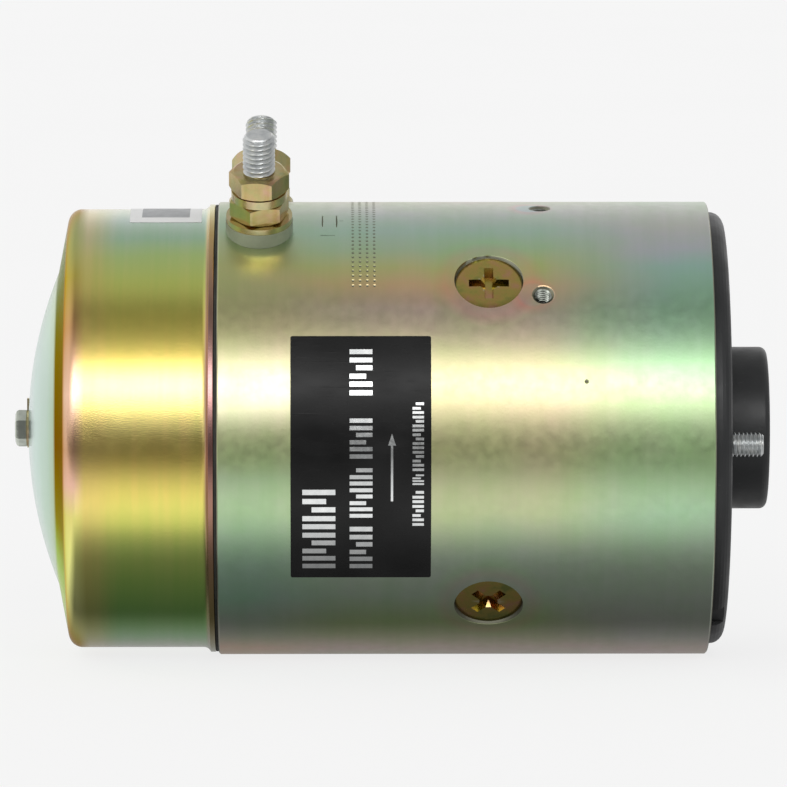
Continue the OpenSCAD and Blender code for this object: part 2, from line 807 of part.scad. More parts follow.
module shaft() color(bare_steel) {
  chamfer = 0.5;
  drive_seat_r = shaft_r - fit_gap / 2;
  rear_seat_r = rear_bearing[0] - fit_gap / 2;
  difference() {
    turned([
      [0, shaft_tip_x], [drive_seat_r - chamfer, shaft_tip_x], [drive_seat_r, shaft_tip_x - chamfer],
      [drive_seat_r, drive_bearing_x], [journal_r, drive_bearing_x], [journal_r, commutator_x1 + 4],
      [rear_shaft_r, commutator_x1 + 4], [rear_shaft_r, commutator_x0 - 0.5],
      [6.4, commutator_x0 - 0.5], [6.4, rear_bearing_x + rear_bearing[2]],
      [rear_seat_r, rear_bearing_x + rear_bearing[2]],
      [rear_seat_r, shaft_rear_x + chamfer], [rear_seat_r - chamfer, shaft_rear_x], [0, shaft_rear_x]
    ]);
    translate([shaft_tip_x - drive_slot_depth, -drive_slot_w / 2, -20])
      cube([drive_slot_depth + 1, drive_slot_w, 40]);
  }
}

module armature_core() color([0.4, 0.4, 0.42]) {
  along_x(core_x0, core_x1) difference() {
    circle(r = core_r);
    circle(r = journal_r + fit_gap / 2);
    for (i = [0:bar_count - 1]) rotate([0, 0, 360 * i / bar_count]) {
      translate([slot_bottom_r, -slot_w / 2]) square([slot_neck_r - slot_bottom_r, slot_w]);
      translate([slot_neck_r - 0.1, -slot_neck_w / 2]) square([5, slot_neck_w]);
    }
  }
}

module armature_winding() color(copper) {
  bar_w = slot_w - 0.4;
  bar_bottom = slot_bottom_r + 0.3;
  bar_top = end_turn_r - 0.5;
  lead_x = riser_x + 0.02;
  rear_x = core_x0 - end_turn_overhang;
  ring(end_turn_r, slot_bottom_r - 2, rear_x, core_x0 - 1);
  ring(end_turn_r, slot_bottom_r - 2, core_x1 + 1, core_x1 + end_turn_overhang);
  for (i = [0:bar_count - 1]) rotate([360 * i / bar_count, 0, 0]) {
    translate([rear_x + 1, bar_bottom, -bar_w / 2])
      cube([core_x1 - rear_x + end_turn_overhang - 2, bar_top - bar_bottom, bar_w]);
    translate([lead_x, riser_r - 4, -1.4]) cube([rear_x - lead_x + 1, 3.4, 2.8]);
  }
}

module winding_bands() color([0.8, 0.76, 0.6]) {
  band_r = core_r - 0.6;
  rear_x = core_x0 - end_turn_overhang;
  ring(band_r, end_turn_r + fit_gap, rear_x + 2, rear_x + 8);
  ring(band_r, end_turn_r + fit_gap, core_x1 + 3, core_x1 + 9);
}

module commutator_bars() color(copper) {
  pitch = 360 / bar_count;
  for (i = [0:bar_count - 1]) turned([
    [bar_bottom_r + fit_gap, commutator_x0], [commutator_r, commutator_x0],
    [commutator_r, commutator_x1], [riser_r, commutator_x1],
    [riser_r, riser_x], [bar_bottom_r + fit_gap, riser_x]
  ], i * pitch - (pitch - mica_angle) / 2, pitch - mica_angle);
}

module commutator_hub() color([0.3, 0.16, 0.1]) {
  turned([
    [rear_shaft_r + fit_gap / 2, commutator_x0], [bar_bottom_r, commutator_x0],
    [bar_bottom_r, riser_x - 0.5], [rear_shaft_r + fit_gap / 2, riser_x - 0.5]
  ]);
}

// ---------- Label and sticker ----------

// Thin sheet that lies on a round surface between two angles.
module wrapped_sheet(r, thickness, x0, x1, a0, a1) {
  turned([[r, x0], [r + thickness, x0], [r + thickness, x1], [r, x1]], a0, a1 - a0);
}

module rating_label() color("black") {
  wrapped_sheet(yoke_r + fit_gap, label_t, label_x0, label_x1, 151.5, 214.9);
}

module cap_sticker() color("white") {
  wrapped_sheet(cap_r + fit_gap, label_t, sticker_x0, sticker_x1, 78, 110);
}

// ---------- Output ----------

yoke_tube();
drive_end_shield();
commutator_end_bracket();
end_cap();
cap_gasket();
cap_screw();
cap_lock_washer();
through_bolts();
through_bolt_washers();
pole_screws();
pole_shoe(1);  // pole_shoe_1
pole_shoe(2);  // pole_shoe_2
pole_shoe(3);  // pole_shoe_3
pole_shoe(4);  // pole_shoe_4
field_coil(1);  // field_coil_1
field_coil(2);  // field_coil_2
field_coil(3);  // field_coil_3
field_coil(4);  // field_coil_4
field_links();
terminal_studs();
terminal_bushes();
terminal_inner_washers();
terminal_plain_washers();
terminal_lower_nuts();
terminal_spring_washers();
terminal_upper_nuts();
brush_plate();
brush_holders();
brush(1);  // brush_1
brush(2);  // brush_2
brush(3);  // brush_3
brush(4);  // brush_4
brush_spring(1);  // brush_spring_1
brush_spring(2);  // brush_spring_2
brush_spring(3);  // brush_spring_3
brush_spring(4);  // brush_spring_4
brush_lead(1);  // brush_lead_1
brush_lead(2);  // brush_lead_2
brush_lead(3);  // brush_lead_3
brush_lead(4);  // brush_lead_4
bearing_outer_ring(drive_bearing, drive_bearing_x);  // drive_bearing_outer_ring
bearing_inner_ring(drive_bearing, drive_bearing_x);  // drive_bearing_inner_ring
bearing_balls(drive_bearing, drive_bearing_x);  // drive_bearing_balls
bearing_cage(drive_bearing, drive_bearing_x);  // drive_bearing_cage
bearing_outer_ring(rear_bearing, rear_bearing_x);  // rear_bearing_outer_ring
bearing_inner_ring(rear_bearing, rear_bearing_x);  // rear_bearing_inner_ring
bearing_balls(rear_bearing, rear_bearing_x);  // rear_bearing_balls
bearing_cage(rear_bearing, rear_bearing_x);  // rear_bearing_cage
bearing_circlip();
shaft_seal();
preload_washer();
shaft();
armature_core();
armature_winding();
winding_bands();
commutator_bars();
commutator_hub();
rating_label();
cap_sticker();
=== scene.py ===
"""Looks of the pump motor: finishes, the pieces that need finer meshes than CAD, camera and studio."""

import json
import math

import bmesh
import bpy
from mathutils import Matrix, Vector


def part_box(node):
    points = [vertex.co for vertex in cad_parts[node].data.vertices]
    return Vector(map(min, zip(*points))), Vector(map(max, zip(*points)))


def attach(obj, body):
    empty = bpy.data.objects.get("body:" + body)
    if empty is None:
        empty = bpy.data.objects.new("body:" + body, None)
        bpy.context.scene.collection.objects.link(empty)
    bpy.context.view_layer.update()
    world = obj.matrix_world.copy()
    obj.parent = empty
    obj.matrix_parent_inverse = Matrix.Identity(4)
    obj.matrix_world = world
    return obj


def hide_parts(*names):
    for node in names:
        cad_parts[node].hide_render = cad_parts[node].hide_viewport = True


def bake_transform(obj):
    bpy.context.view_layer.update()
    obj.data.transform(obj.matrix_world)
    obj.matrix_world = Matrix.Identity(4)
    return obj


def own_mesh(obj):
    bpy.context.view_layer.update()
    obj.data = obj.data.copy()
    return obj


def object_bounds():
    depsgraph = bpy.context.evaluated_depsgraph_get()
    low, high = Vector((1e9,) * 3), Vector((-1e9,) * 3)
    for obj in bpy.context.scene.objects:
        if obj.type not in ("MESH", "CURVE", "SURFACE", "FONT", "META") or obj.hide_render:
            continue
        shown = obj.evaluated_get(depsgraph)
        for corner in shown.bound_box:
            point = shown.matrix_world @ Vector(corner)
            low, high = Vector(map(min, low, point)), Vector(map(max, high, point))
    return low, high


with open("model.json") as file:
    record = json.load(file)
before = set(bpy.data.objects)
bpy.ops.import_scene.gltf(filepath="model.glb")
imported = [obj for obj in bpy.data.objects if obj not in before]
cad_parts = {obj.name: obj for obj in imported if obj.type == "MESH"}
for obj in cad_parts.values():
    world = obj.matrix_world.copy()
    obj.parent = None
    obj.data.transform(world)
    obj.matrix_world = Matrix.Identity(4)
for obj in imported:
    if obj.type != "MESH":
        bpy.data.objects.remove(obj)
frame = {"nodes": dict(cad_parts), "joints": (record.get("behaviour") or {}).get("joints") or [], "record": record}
cad_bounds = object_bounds()
nodes = frame["nodes"]
joints = {j["name"]: j for j in frame["joints"]}
mounts = {m["name"]: m for m in frame["record"]["mounts"]}

MM = 0.001

# ---------- Sizes: from the frame, and a few that only these meshes need ----------

yoke_low, yoke_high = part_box("yoke_tube")
cap_low, cap_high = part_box("end_cap")
pole_low, pole_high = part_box("pole_screws")
label_low, label_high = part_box("rating_label")
sticker_low, sticker_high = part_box("cap_sticker")
ring_low, ring_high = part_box("cap_gasket")

YOKE_R = yoke_high.y
YOKE_X0, YOKE_X1 = yoke_low.x, yoke_high.x
POLE_X = (pole_low.x + pole_high.x) / 2
POLE_ELEVATIONS = (45, -45, 135, -135)
POLE_HEAD_R = 8.25 * MM
TAPPED_HOLES = ("upper_bracket_hole", "lower_bracket_hole")
TAP_R = mounts[TAPPED_HOLES[0]]["dims"]["r_mm"] * MM

# End cap: wall, lip, rounded corner and dome
SEAM_X = cap_high.x
LIP_R = cap_high.y
LIP_STEP = 1.2 * MM
LIP_X = SEAM_X + 0.8 * MM
CAP_R = LIP_R - LIP_STEP
CAP_SHEET = 1.4 * MM
CORNER_R = 3.4 * MM
CORNER_X = cap_low.x + 13.525 * MM
DOME_R = 103.0 * MM
DOME_RIM_R = 39.5 * MM
SEAT_R = 6.0 * MM

FLOOR_Z = cad_bounds[0].z - 0.1 * MM


def around(elevation, radius, x):
    """Point at an angle above the -Y side of the shaft, in the row frame."""
    e = math.radians(elevation)
    return Vector((x, -radius * math.cos(e), radius * math.sin(e)))


# ---------- Node-graph helpers ----------

def rgba(colour):
    """A grey number or an (r, g, b) as four values; sockets pass through."""
    if hasattr(colour, "links"):
        return colour
    if isinstance(colour, (int, float)):
        return (colour, colour, colour, 1.0)
    return (*colour[:3], 1.0)


class Graph:
    """Short calls that add nodes to one tree. position is where a point lies in the row frame at rest."""

    def __init__(self, tree):
        self.tree = tree
        self.position = self.add("ShaderNodeTexCoord").outputs["Object"]

    def add(self, kind, **settings):
        node = self.tree.nodes.new(kind)
        for key, value in settings.items():
            setattr(node, key, value)
        return node

    def link(self, source, target):
        if hasattr(source, "links"):
            self.tree.links.new(source, target)
        else:
            target.default_value = source

    def math(self, operation, a, b=0.0):
        node = self.add("ShaderNodeMath", operation=operation)
        self.link(a, node.inputs[0])
        self.link(b, node.inputs[1])
        return node.outputs[0]

    def split(self, vector):
        node = self.add("ShaderNodeSeparateXYZ")
        self.link(vector, node.inputs[0])
        return node.outputs

    def stretched(self, scale):
        node = self.add("ShaderNodeMapping")
        node.inputs["Scale"].default_value = scale
        self.link(self.position, node.inputs["Vector"])
        return node.outputs["Vector"]

    def noise(self, scale, detail=3.0, roughness=0.5, stretch=None):
        """Noise over the position; stretch scales each axis first."""
        node = self.add("ShaderNodeTexNoise")
        node.inputs["Scale"].default_value = scale
        node.inputs["Detail"].default_value = detail
        node.inputs["Roughness"].default_value = roughness
        self.link(self.stretched(stretch) if stretch else self.position, node.inputs["Vector"])
        return node.outputs["Fac"]

    def cells(self, scale, stretch=None, feature="F1"):
        node = self.add("ShaderNodeTexVoronoi", feature=feature)
        node.inputs["Scale"].default_value = scale
        self.link(self.stretched(stretch) if stretch else self.position, node.inputs["Vector"])
        return node.outputs["Distance"]

    def ramp(self, factor, stops):
        """Colour ramp from (place, colour) stops in rising order; a grey may be one number."""
        node = self.add("ShaderNodeValToRGB")
        elements = node.color_ramp.elements
        for _ in range(len(stops) - 2):
            elements.new(0.5)
        for element, (place, colour) in zip(elements, stops):
            element.position = place
            element.color = rgba(colour)
        self.link(factor, node.inputs["Fac"])
        return node.outputs["Color"]

    def mix(self, factor, a, b, blend="MIX"):
        node = self.add("ShaderNodeMix", data_type="RGBA", blend_type=blend)
        self.link(factor, node.inputs[0])
        self.link(rgba(a), node.inputs[6])
        self.link(rgba(b), node.inputs[7])
        return node.outputs[2]

    def span(self, value, low, high, out_low=0.0, out_high=1.0, smooth=False):
        """Maps value from low..high to out_low..out_high, and holds it at the ends."""
        node = self.add("ShaderNodeMapRange")
        if smooth:
            node.interpolation_type = "SMOOTHSTEP"
        for place, number in enumerate((value, low, high, out_low, out_high)):
            self.link(number, node.inputs[place])
        return node.outputs[0]

    def distance(self, point):
        node = self.add("ShaderNodeVectorMath", operation="DISTANCE")
        self.link(self.position, node.inputs[0])
        node.inputs[1].default_value = point
        return node.outputs["Value"]

    def nearest(self, points):
        """Distance to the nearest of some points."""
        shortest = self.distance(points[0])
        for point in points[1:]:
            shortest = self.math("MINIMUM", shortest, self.distance(point))
        return shortest

    def turn(self, wobble=0.0, scale=30.0):
        """Share of a turn about the shaft: 0.5 at -Y, 0.75 at the top. Noise bends it by wobble degrees."""
        _, y, z = self.split(self.position)
        share = self.span(self.math("ARCTAN2", z, self.math("MULTIPLY", y, -1.0)), -math.pi, math.pi)
        if wobble:
            shift = self.math("SUBTRACT", self.noise(scale, 2.0), 0.5)
            share = self.math("ADD", share, self.math("MULTIPLY", shift, wobble / 180))
        return share

    def radius(self):
        _, y, z = self.split(self.position)
        return self.math("SQRT", self.math("ADD", self.math("MULTIPLY", y, y), self.math("MULTIPLY", z, z)))


class Finish(Graph):
    """A material on one principled shader."""

    COAT_ROUGHNESS = 0.12

    def __init__(self, name, metallic=0.0, roughness=0.5, ior=1.5, coat=0.0, sheen=0.0):
        self.material = bpy.data.materials.new(name)
        self.material.use_nodes = True
        super().__init__(self.material.node_tree)
        self.shader = self.tree.nodes["Principled BSDF"]
        for socket, value in (
            ("Metallic", metallic), ("Roughness", roughness), ("IOR", ior), ("Coat Weight", coat),
            ("Coat Roughness", self.COAT_ROUGHNESS), ("Sheen Weight", sheen),
        ):
            self.shader.inputs[socket].default_value = value

    def colour(self, source):
        self.link(rgba(source), self.shader.inputs["Base Color"])

    def gloss(self, low, high, scale=120.0, detail=4.0, stretch=None):
        """Roughness that wanders between two values."""
        self.link(self.span(self.noise(scale, detail, stretch=stretch), 0.3, 0.7, low, high),
                  self.shader.inputs["Roughness"])

    def bump(self, height, depth, strength=1.0):
        """Bump of a height from 0 to 1 that stands for depth in metres; a second call adds to the first."""
        node = self.add("ShaderNodeBump")
        node.inputs["Strength"].default_value = strength
        node.inputs["Distance"].default_value = depth
        self.link(height, node.inputs["Height"])
        before = self.shader.inputs["Normal"].links
        if before:
            self.tree.links.new(before[0].from_socket, node.inputs["Normal"])
        self.tree.links.new(node.outputs["Normal"], self.shader.inputs["Normal"])
        return self


# ---------- Zinc-chromate finishes ----------

def by_elevation(finish, stops, wobble=4.0, scale=30.0):
    """Ramp round the shaft, from (degrees above the -Y side, colour) stops."""
    stops = sorted(stops)
    return finish.ramp(finish.turn(wobble, scale), [(0.5 + e / 360, colour) for e, colour in stops])


def yoke_finish():
    """Satin passivated steel tube: interference colours drift round it and from end to end, and a painted
    highlight brightens the left end just above the front.
    """
    f = Finish("yoke_chromate", metallic=1.0)
    middle = by_elevation(f, [
        (-170, (.5, .55, .5)), (-140, (.6, .56, .4)), (-110, (.48, .58, .46)), (-78, (.60, .54, .43)),
        (-69, (.65, .53, .45)), (-52, (.48, .60, .30)), (-41, (.47, .60, .44)), (-30, (.48, .59, .44)),
        (-17, (.52, .59, .33)), (-7, (.54, .58, .32)), (0, (.57, .57, .29)), (10, (.64, .55, .34)),
        (25, (.59, .56, .32)), (36, (.65, .53, .41)), (43, (.73, .53, .29)), (49, (.58, .59, .26)),
        (56, (.45, .60, .38)), (64, (.44, .60, .50)), (75, (.50, .56, .50)), (95, (.58, .55, .42)),
        (120, (.45, .59, .42)), (150, (.62, .55, .36)), (175, (.5, .55, .5)),
    ])
    # The left end's pale stop at 10 degrees up is a painted highlight: that end is painted brighter where the
    # softbox shines on it
    left = by_elevation(f, [
        (-170, (.52, .56, .48)), (-120, (.58, .56, .38)), (-69, (.70, .52, .38)), (-60, (.55, .56, .44)),
        (-41, (.39, .60, .45)), (-30, (.40, .60, .43)), (-17, (.43, .60, .35)), (-7, (.45, .60, .35)),
        (-2, (.49, .60, .30)), (3, (.54, .58, .32)), (10, (.74, .70, .48)), (30, (.60, .56, .30)),
        (49, (.56, .59, .27)), (66, (.45, .60, .42)), (90, (.55, .56, .44)), (130, (.46, .59, .38)),
        (170, (.52, .56, .48)),
    ])
    right = by_elevation(f, [
        (-170, (.48, .57, .50)), (-110, (.58, .56, .42)), (-69, (.65, .54, .48)), (-60, (.56, .56, .50)),
        (-45, (.50, .57, .48)), (-30, (.45, .59, .42)), (-17, (.41, .61, .39)), (-2, (.43, .61, .31)),
        (10, (.47, .60, .34)), (17, (.41, .61, .36)), (25, (.40, .61, .38)), (36, (.38, .61, .42)),
        (49, (.40, .60, .53)), (56, (.52, .55, .58)), (66, (.56, .56, .54)), (90, (.50, .58, .46)),
        (130, (.60, .56, .40)), (170, (.48, .57, .50)),
    ])
    x, _, _ = f.split(f.position)
    drift = f.math("MULTIPLY", f.math("SUBTRACT", f.noise(22.0, 3.0), 0.5), 30.0 * MM)
    along = f.span(f.math("ADD", x, drift), YOKE_X0, YOKE_X1)
    colour = f.mix(f.span(along, 0.05, 0.3, smooth=True), left, middle)
    colour = f.mix(f.span(along, 0.62, 0.9, smooth=True), colour, right)

    # Faint streaks round the tube and clouds in the passivation
    streak = f.ramp(f.noise(9.0, 5.0, 0.6, stretch=(26, 1.4, 1.4)),
                    [(0.36, (.96, .98, .95)), (0.64, (1.03, 1.01, 1.03))])
    cloud = f.ramp(f.noise(55.0, 5.0, 0.65), [(0.35, (.97, 1.02, .95)), (0.65, (1.04, .99, 1.05))])
    colour = f.mix(1.0, f.mix(1.0, colour, streak, "MULTIPLY"), cloud, "MULTIPLY")

    # Heat-tinted rings round the pole screws and the tapped holes
    screws = f.nearest([around(e, YOKE_R, POLE_X) for e in POLE_ELEVATIONS])
    tint = f.ramp(f.span(screws, 0.97 * POLE_HEAD_R, 2 * POLE_HEAD_R), [
        (0.0, (1.02, .96, 1.02)), (0.35, (1.10, .92, .98)), (0.7, (.98, 1.02, .94)), (1.0, 1.0),
    ])
    colour = f.mix(1.0, colour, tint, "MULTIPLY")
    places = [Vector(mounts[name]["pos_m"]) for name in TAPPED_HOLES]
    holes = f.nearest([place * (YOKE_R / place.yz.length) for place in places])
    tint = f.ramp(f.span(holes, TAP_R + 0.1 * MM, TAP_R + 4.1 * MM), [
        (0.0, (.92, 1.0, 1.10)), (0.2, (.96, .98, 1.12)), (0.42, (1.14, .90, .98)), (1.0, 1.0),
    ])
    colour = f.mix(1.0, colour, tint, "MULTIPLY")

    # Cut faces, hole walls and punched marks are painted darker than the skin: painted shade in these recesses,
    # over their duller cut metal
    skin = f.span(f.radius(), YOKE_R - 0.24 * MM, YOKE_R - 0.08 * MM)
    f.colour(f.mix(skin, (.27, .27, .20), colour))

    f.gloss(0.29, 0.36, 400.0, 3.0)
    f.bump(f.noise(2600.0, 3.0, 0.6, stretch=(1, .6, .6)), 0.000012)
    f.bump(f.noise(90.0, 2.0), 0.00004, 0.5)
    return f.material


def cap_finish():
    """Bright drawn sheet: deep gold bands on the wall, honey shelf, pale blue-green dome."""
    f = Finish("cap_chromate", metallic=1.0)
    wall = by_elevation(f, [
        (-170, (.55, .62, .40)), (-130, (.70, .66, .25)), (-100, (.50, .62, .35)), (-80, (.60, .62, .50)),
        (-65, (.40, .65, .35)), (-50, (.32, .62, .16)), (-38, (.40, .62, .15)), (-27, (.55, .67, .17)),
        (-20, (.72, .73, .17)), (-12, (.78, .66, .16)), (-2, (.80, .62, .16)), (5, (.85, .72, .25)),
        (18, (.90, .72, .25)), (25, (.85, .68, .17)), (35, (.75, .68, .15)), (46, (.64, .72, .19)),
        (55, (.50, .66, .26)), (63, (.42, .62, .43)), (75, (.50, .62, .55)), (95, (.60, .62, .40)),
        (120, (.75, .66, .22)), (150, (.48, .62, .30)), (175, (.55, .62, .40)),
    ], wobble=3.0)
    x, _, _ = f.split(f.position)
    radius = f.radius()
    rosy = f.span(x, SEAM_X - 22 * MM, SEAM_X - 31 * MM, 0.0, 0.5, smooth=True)
    wall = f.mix(rosy, wall, (.86, .60, .22))
    # Painted highlights on the rounded corner: the pale stops at 14 and -9 degrees and the bright band from -60 to
    # -18 degrees
    corner = by_elevation(f, [
        (-100, (.80, .86, .50)), (-60, (.92, .98, .46)), (-28, (.90, .92, .28)), (-18, (.86, .80, .24)),
        (-9, (.92, .58, .42)), (0, (.70, .42, .24)), (14, (.92, .62, .44)), (32, (.66, .38, .16)),
        (48, (.60, .50, .11)), (62, (.56, .60, .26)), (80, (.50, .62, .46)), (120, (.62, .60, .36)),
    ], wobble=3.0)
    shelf = by_elevation(f, [
        (-110, (.46, .50, .26)), (-60, (.55, .66, .30)), (-42, (.48, .60, .20)), (-26, (.42, .36, .09)),
        (0, (.36, .24, .07)), (30, (.38, .30, .06)), (60, (.32, .36, .15)), (120, (.44, .48, .26)),
    ])
    dome = f.ramp(f.span(radius, 0.0, DOME_RIM_R - 0.5 * MM), [
        (0.0, (.66, .82, .76)), (0.6, (.58, .78, .70)), (0.9, (.46, .66, .48)), (1.0, (.42, .56, .30)),
    ])
    dome = f.mix(f.span(f.noise(26.0, 4.0), 0.35, 0.7, 0.0, 0.35), dome, (.62, .72, .72))
    past_dome = f.span(radius, DOME_RIM_R - 1.0 * MM, DOME_RIM_R + 0.7 * MM)
    face = f.mix(past_dome, dome, shelf)
    on_face = f.span(radius, CAP_R - 2.2 * MM, CAP_R - 3.7 * MM)
    on_corner = f.span(x, CORNER_X + 2.0 * MM, CORNER_X - 0.5 * MM)
    colour = f.mix(on_face, f.mix(on_corner, wall, corner), face)

    # The shelf and corner keep their gold when seen edge on; the wall and the dome go pale
    edge_on = f.mix(on_face, f.mix(on_corner, 1.0, (.66, .44, .26)), f.mix(1.0, shelf, 1.25, "MULTIPLY"))
    edge_on = f.mix(past_dome, 1.0, edge_on)
    f.link(edge_on, f.shader.inputs["Specular Tint"])

    # The rolled lip is rosier than the wall
    lip = by_elevation(f, [
        (-80, (.46, .46, .34)), (-50, (.40, .31, .12)), (-25, (.34, .19, .13)), (0, (.36, .18, .16)),
        (20, (.48, .27, .26)), (45, (.44, .26, .18)), (62, (.58, .40, .16)), (80, (.70, .64, .32)),
        (120, (.50, .46, .28)),
    ], wobble=6.0)
    colour = f.mix(f.span(radius, CAP_R + 0.1 * MM, CAP_R + 0.6 * MM), colour, lip)
    streak = f.ramp(f.noise(11.0, 5.0, 0.6, stretch=(30, 1.2, 1.2)),
                    [(0.34, (.94, .98, .92)), (0.66, (1.05, 1.0, 1.04))])
    f.colour(f.mix(1.0, colour, streak, "MULTIPLY"))
    f.gloss(0.13, 0.19, 300.0, 3.0)
    f.bump(f.noise(1500.0, 3.0, 0.6, stretch=(1, .5, .5)), 0.000006)
    f.bump(f.noise(4200.0, 2.0, 0.7, stretch=(.6, 1, 1)), 0.000024)
    f.bump(f.noise(60.0, 2.0), 0.00005, 0.5)
    return f.material


def fastener_finish():
    """Small passivated steel: gold with green and rosy patches, worn a little paler on raised edges."""
    f = Finish("fastener_chromate", metallic=1.0, roughness=0.24)
    tone = f.ramp(f.noise(190.0, 3.0, 0.6), [
        (0.30, (.25, .27, .08)), (0.44, (.41, .34, .09)), (0.56, (.47, .32, .10)), (0.68, (.52, .29, .16)),
    ])
    worn = f.span(f.add("ShaderNodeNewGeometry").outputs["Pointiness"], 0.53, 0.62, 0.0, 0.4)
    f.colour(f.mix(worn, tone, (.74, .70, .52)))
    f.gloss(0.14, 0.26, 500.0, 3.0)
    f.bump(f.noise(1800.0, 4.0, 0.6), 0.00001)
    return f.material


def silver_finish():
    """Clear zinc on threads and bolts, with painted shade in the thread roots."""
    f = Finish("clear_zinc", metallic=1.0, roughness=0.34)
    tone = f.ramp(f.noise(420.0, 4.0, 0.6),
                  [(0.3, (.52, .54, .55)), (0.5, (.68, .70, .70)), (0.7, (.78, .78, .76))])
    # Painted shade: concave thread roots are darkened grey
    root = f.span(f.add("ShaderNodeNewGeometry").outputs["Pointiness"], 0.40, 0.50, 0.65, 0.0)
    f.colour(f.mix(root, tone, (.24, .25, .24)))
    f.gloss(0.28, 0.42, 700.0, 3.0)
    f.bump(f.noise(2400.0, 4.0, 0.6), 0.000012)
    return f.material


# ---------- Other finishes ----------

def metal(name, dark, light, roughness, scale=300.0, grain=0.00001, stretch=None):
    """Plain metal whose tone and gloss vary; stretch turns the grain into tool marks."""
    f = Finish(name, metallic=1.0)
    f.colour(f.ramp(f.noise(scale, 4.0, 0.6, stretch), [(0.32, dark), (0.68, light)]))
    f.gloss(roughness * 0.8, roughness * 1.25, scale * 1.4, stretch=stretch)
    return f.bump(f.noise(scale * 5, 3.0, 0.6, stretch), grain)


def dielectric(name, dark, light, roughness, scale=200.0, grain=0.00002, coat=0.0):
    """Plastic, rubber or resin whose tone and gloss vary over a fine grain."""
    f = Finish(name, coat=coat)
    f.colour(f.ramp(f.noise(scale, 4.0, 0.6), [(0.32, dark), (0.68, light)]))
    f.gloss(roughness * 0.85, roughness * 1.15, scale * 1.4)
    return f.bump(f.noise(scale * 4, 3.0, 0.6), grain)


def enamel_finish():
    """Matt black paint with a fine orange peel and dust in it."""
    f = Finish("black_enamel_paint", roughness=0.42)
    dust = f.span(f.noise(900.0, 4.0, 0.7), 0.62, 0.75, 0.0, 0.5)
    paint = f.ramp(f.noise(70.0, 4.0), [(0.3, (.010, .011, .012)), (0.7, (.020, .021, .022))])
    f.colour(f.mix(dust, paint, (.06, .06, .06)))
    f.gloss(0.36, 0.50, 160.0)
    f.bump(f.noise(1100.0, 2.0, 0.5), 0.00003)
    return f.material


def label_finish():
    """Glossy black film with finger smears and hairline scuffs."""
    f = Finish("label_black", ior=1.26)
    f.colour(f.ramp(f.noise(60.0, 4.0), [(0.3, (.008, .008, .008)), (0.7, (.016, .016, .016))]))
    f.gloss(0.16, 0.34, 90.0, 5.0, stretch=(1, 3, 3))
    scuff = f.noise(260.0, 3.0, 0.7, stretch=(.25, 5, 5))
    return f.bump(f.span(scuff, 0.6, 0.72), 0.00001).material


def tape_finish():
    """Varnished cotton tape wound round a coil: overlapping turns with a weave."""
    f = Finish("varnished_tape", roughness=0.55, sheen=0.2)
    turns = f.add("ShaderNodeTexWave", wave_type="BANDS", bands_direction="DIAGONAL", wave_profile="SAW")
    turns.inputs["Scale"].default_value = 45.0
    turns.inputs["Distortion"].default_value = 0.6
    f.link(f.position, turns.inputs["Vector"])
    weave = f.cells(2600.0, feature="SMOOTH_F1")
    tone = f.ramp(f.noise(120.0, 4.0), [(0.3, (.34, .24, .12)), (0.7, (.56, .45, .28))])
    f.colour(f.mix(f.span(turns.outputs["Fac"], 0.0, 0.15, 0.6, 0.0), tone, (.14, .09, .045)))
    f.bump(turns.outputs["Fac"], 0.0002)
    return f.bump(weave, 0.00004).material


def winding_finish():
    """Enamelled copper wire, laid in rows, with painted shade in the grooves between the wires."""
    f = Finish("enamelled_copper", metallic=0.9, roughness=0.3)
    rows = f.add("ShaderNodeTexWave", wave_type="RINGS", rings_direction="X", wave_profile="SIN")
    rows.inputs["Scale"].default_value = 160.0
    rows.inputs["Distortion"].default_value = 1.0
    f.link(f.position, rows.inputs["Vector"])
    tone = f.ramp(f.noise(150.0, 4.0), [(0.3, (.36, .10, .03)), (0.7, (.58, .22, .08))])
    # Painted shade darkens the grooves between the rows of wire
    f.colour(f.mix(f.span(rows.outputs["Fac"], 0.0, 0.35, 0.7, 0.0), tone, (.07, .02, .01)))
    return f.bump(rows.outputs["Fac"], 0.00025).material


def lamination_finish():
    """Stack of punched sheets, seen on edge along the shaft."""
    f = Finish("core_laminations", metallic=1.0, roughness=0.42)
    sheets = f.add("ShaderNodeTexWave", wave_type="BANDS", bands_direction="X", wave_profile="SIN")
    sheets.inputs["Scale"].default_value = 310.0
    f.link(f.position, sheets.inputs["Vector"])
    tone = f.ramp(f.noise(200.0, 4.0), [(0.3, (.22, .22, .23)), (0.7, (.40, .39, .38))])
    f.colour(f.mix(f.span(sheets.outputs["Fac"], 0.0, 0.3, 0.6, 0.0), tone, (.06, .055, .05)))
    return f.bump(sheets.outputs["Fac"], 0.00005).material


def braid_finish():
    """Stranded copper lead, with painted shade at the edges of each strand."""
    f = Finish("copper_strands", metallic=1.0, roughness=0.35)
    strands = f.cells(1700.0, stretch=(1, 2.2, .5))
    # Painted shade: each strand is light in the middle and dark towards its edges
    f.colour(f.ramp(strands, [(0.1, (.72, .36, .20)), (0.6, (.30, .12, .06))]))
    return f.bump(f.math("SUBTRACT", 1.0, strands), 0.0001).material


# Stretch of the noise that lays tool marks round the shaft
TURNED = (1, 12, 12)

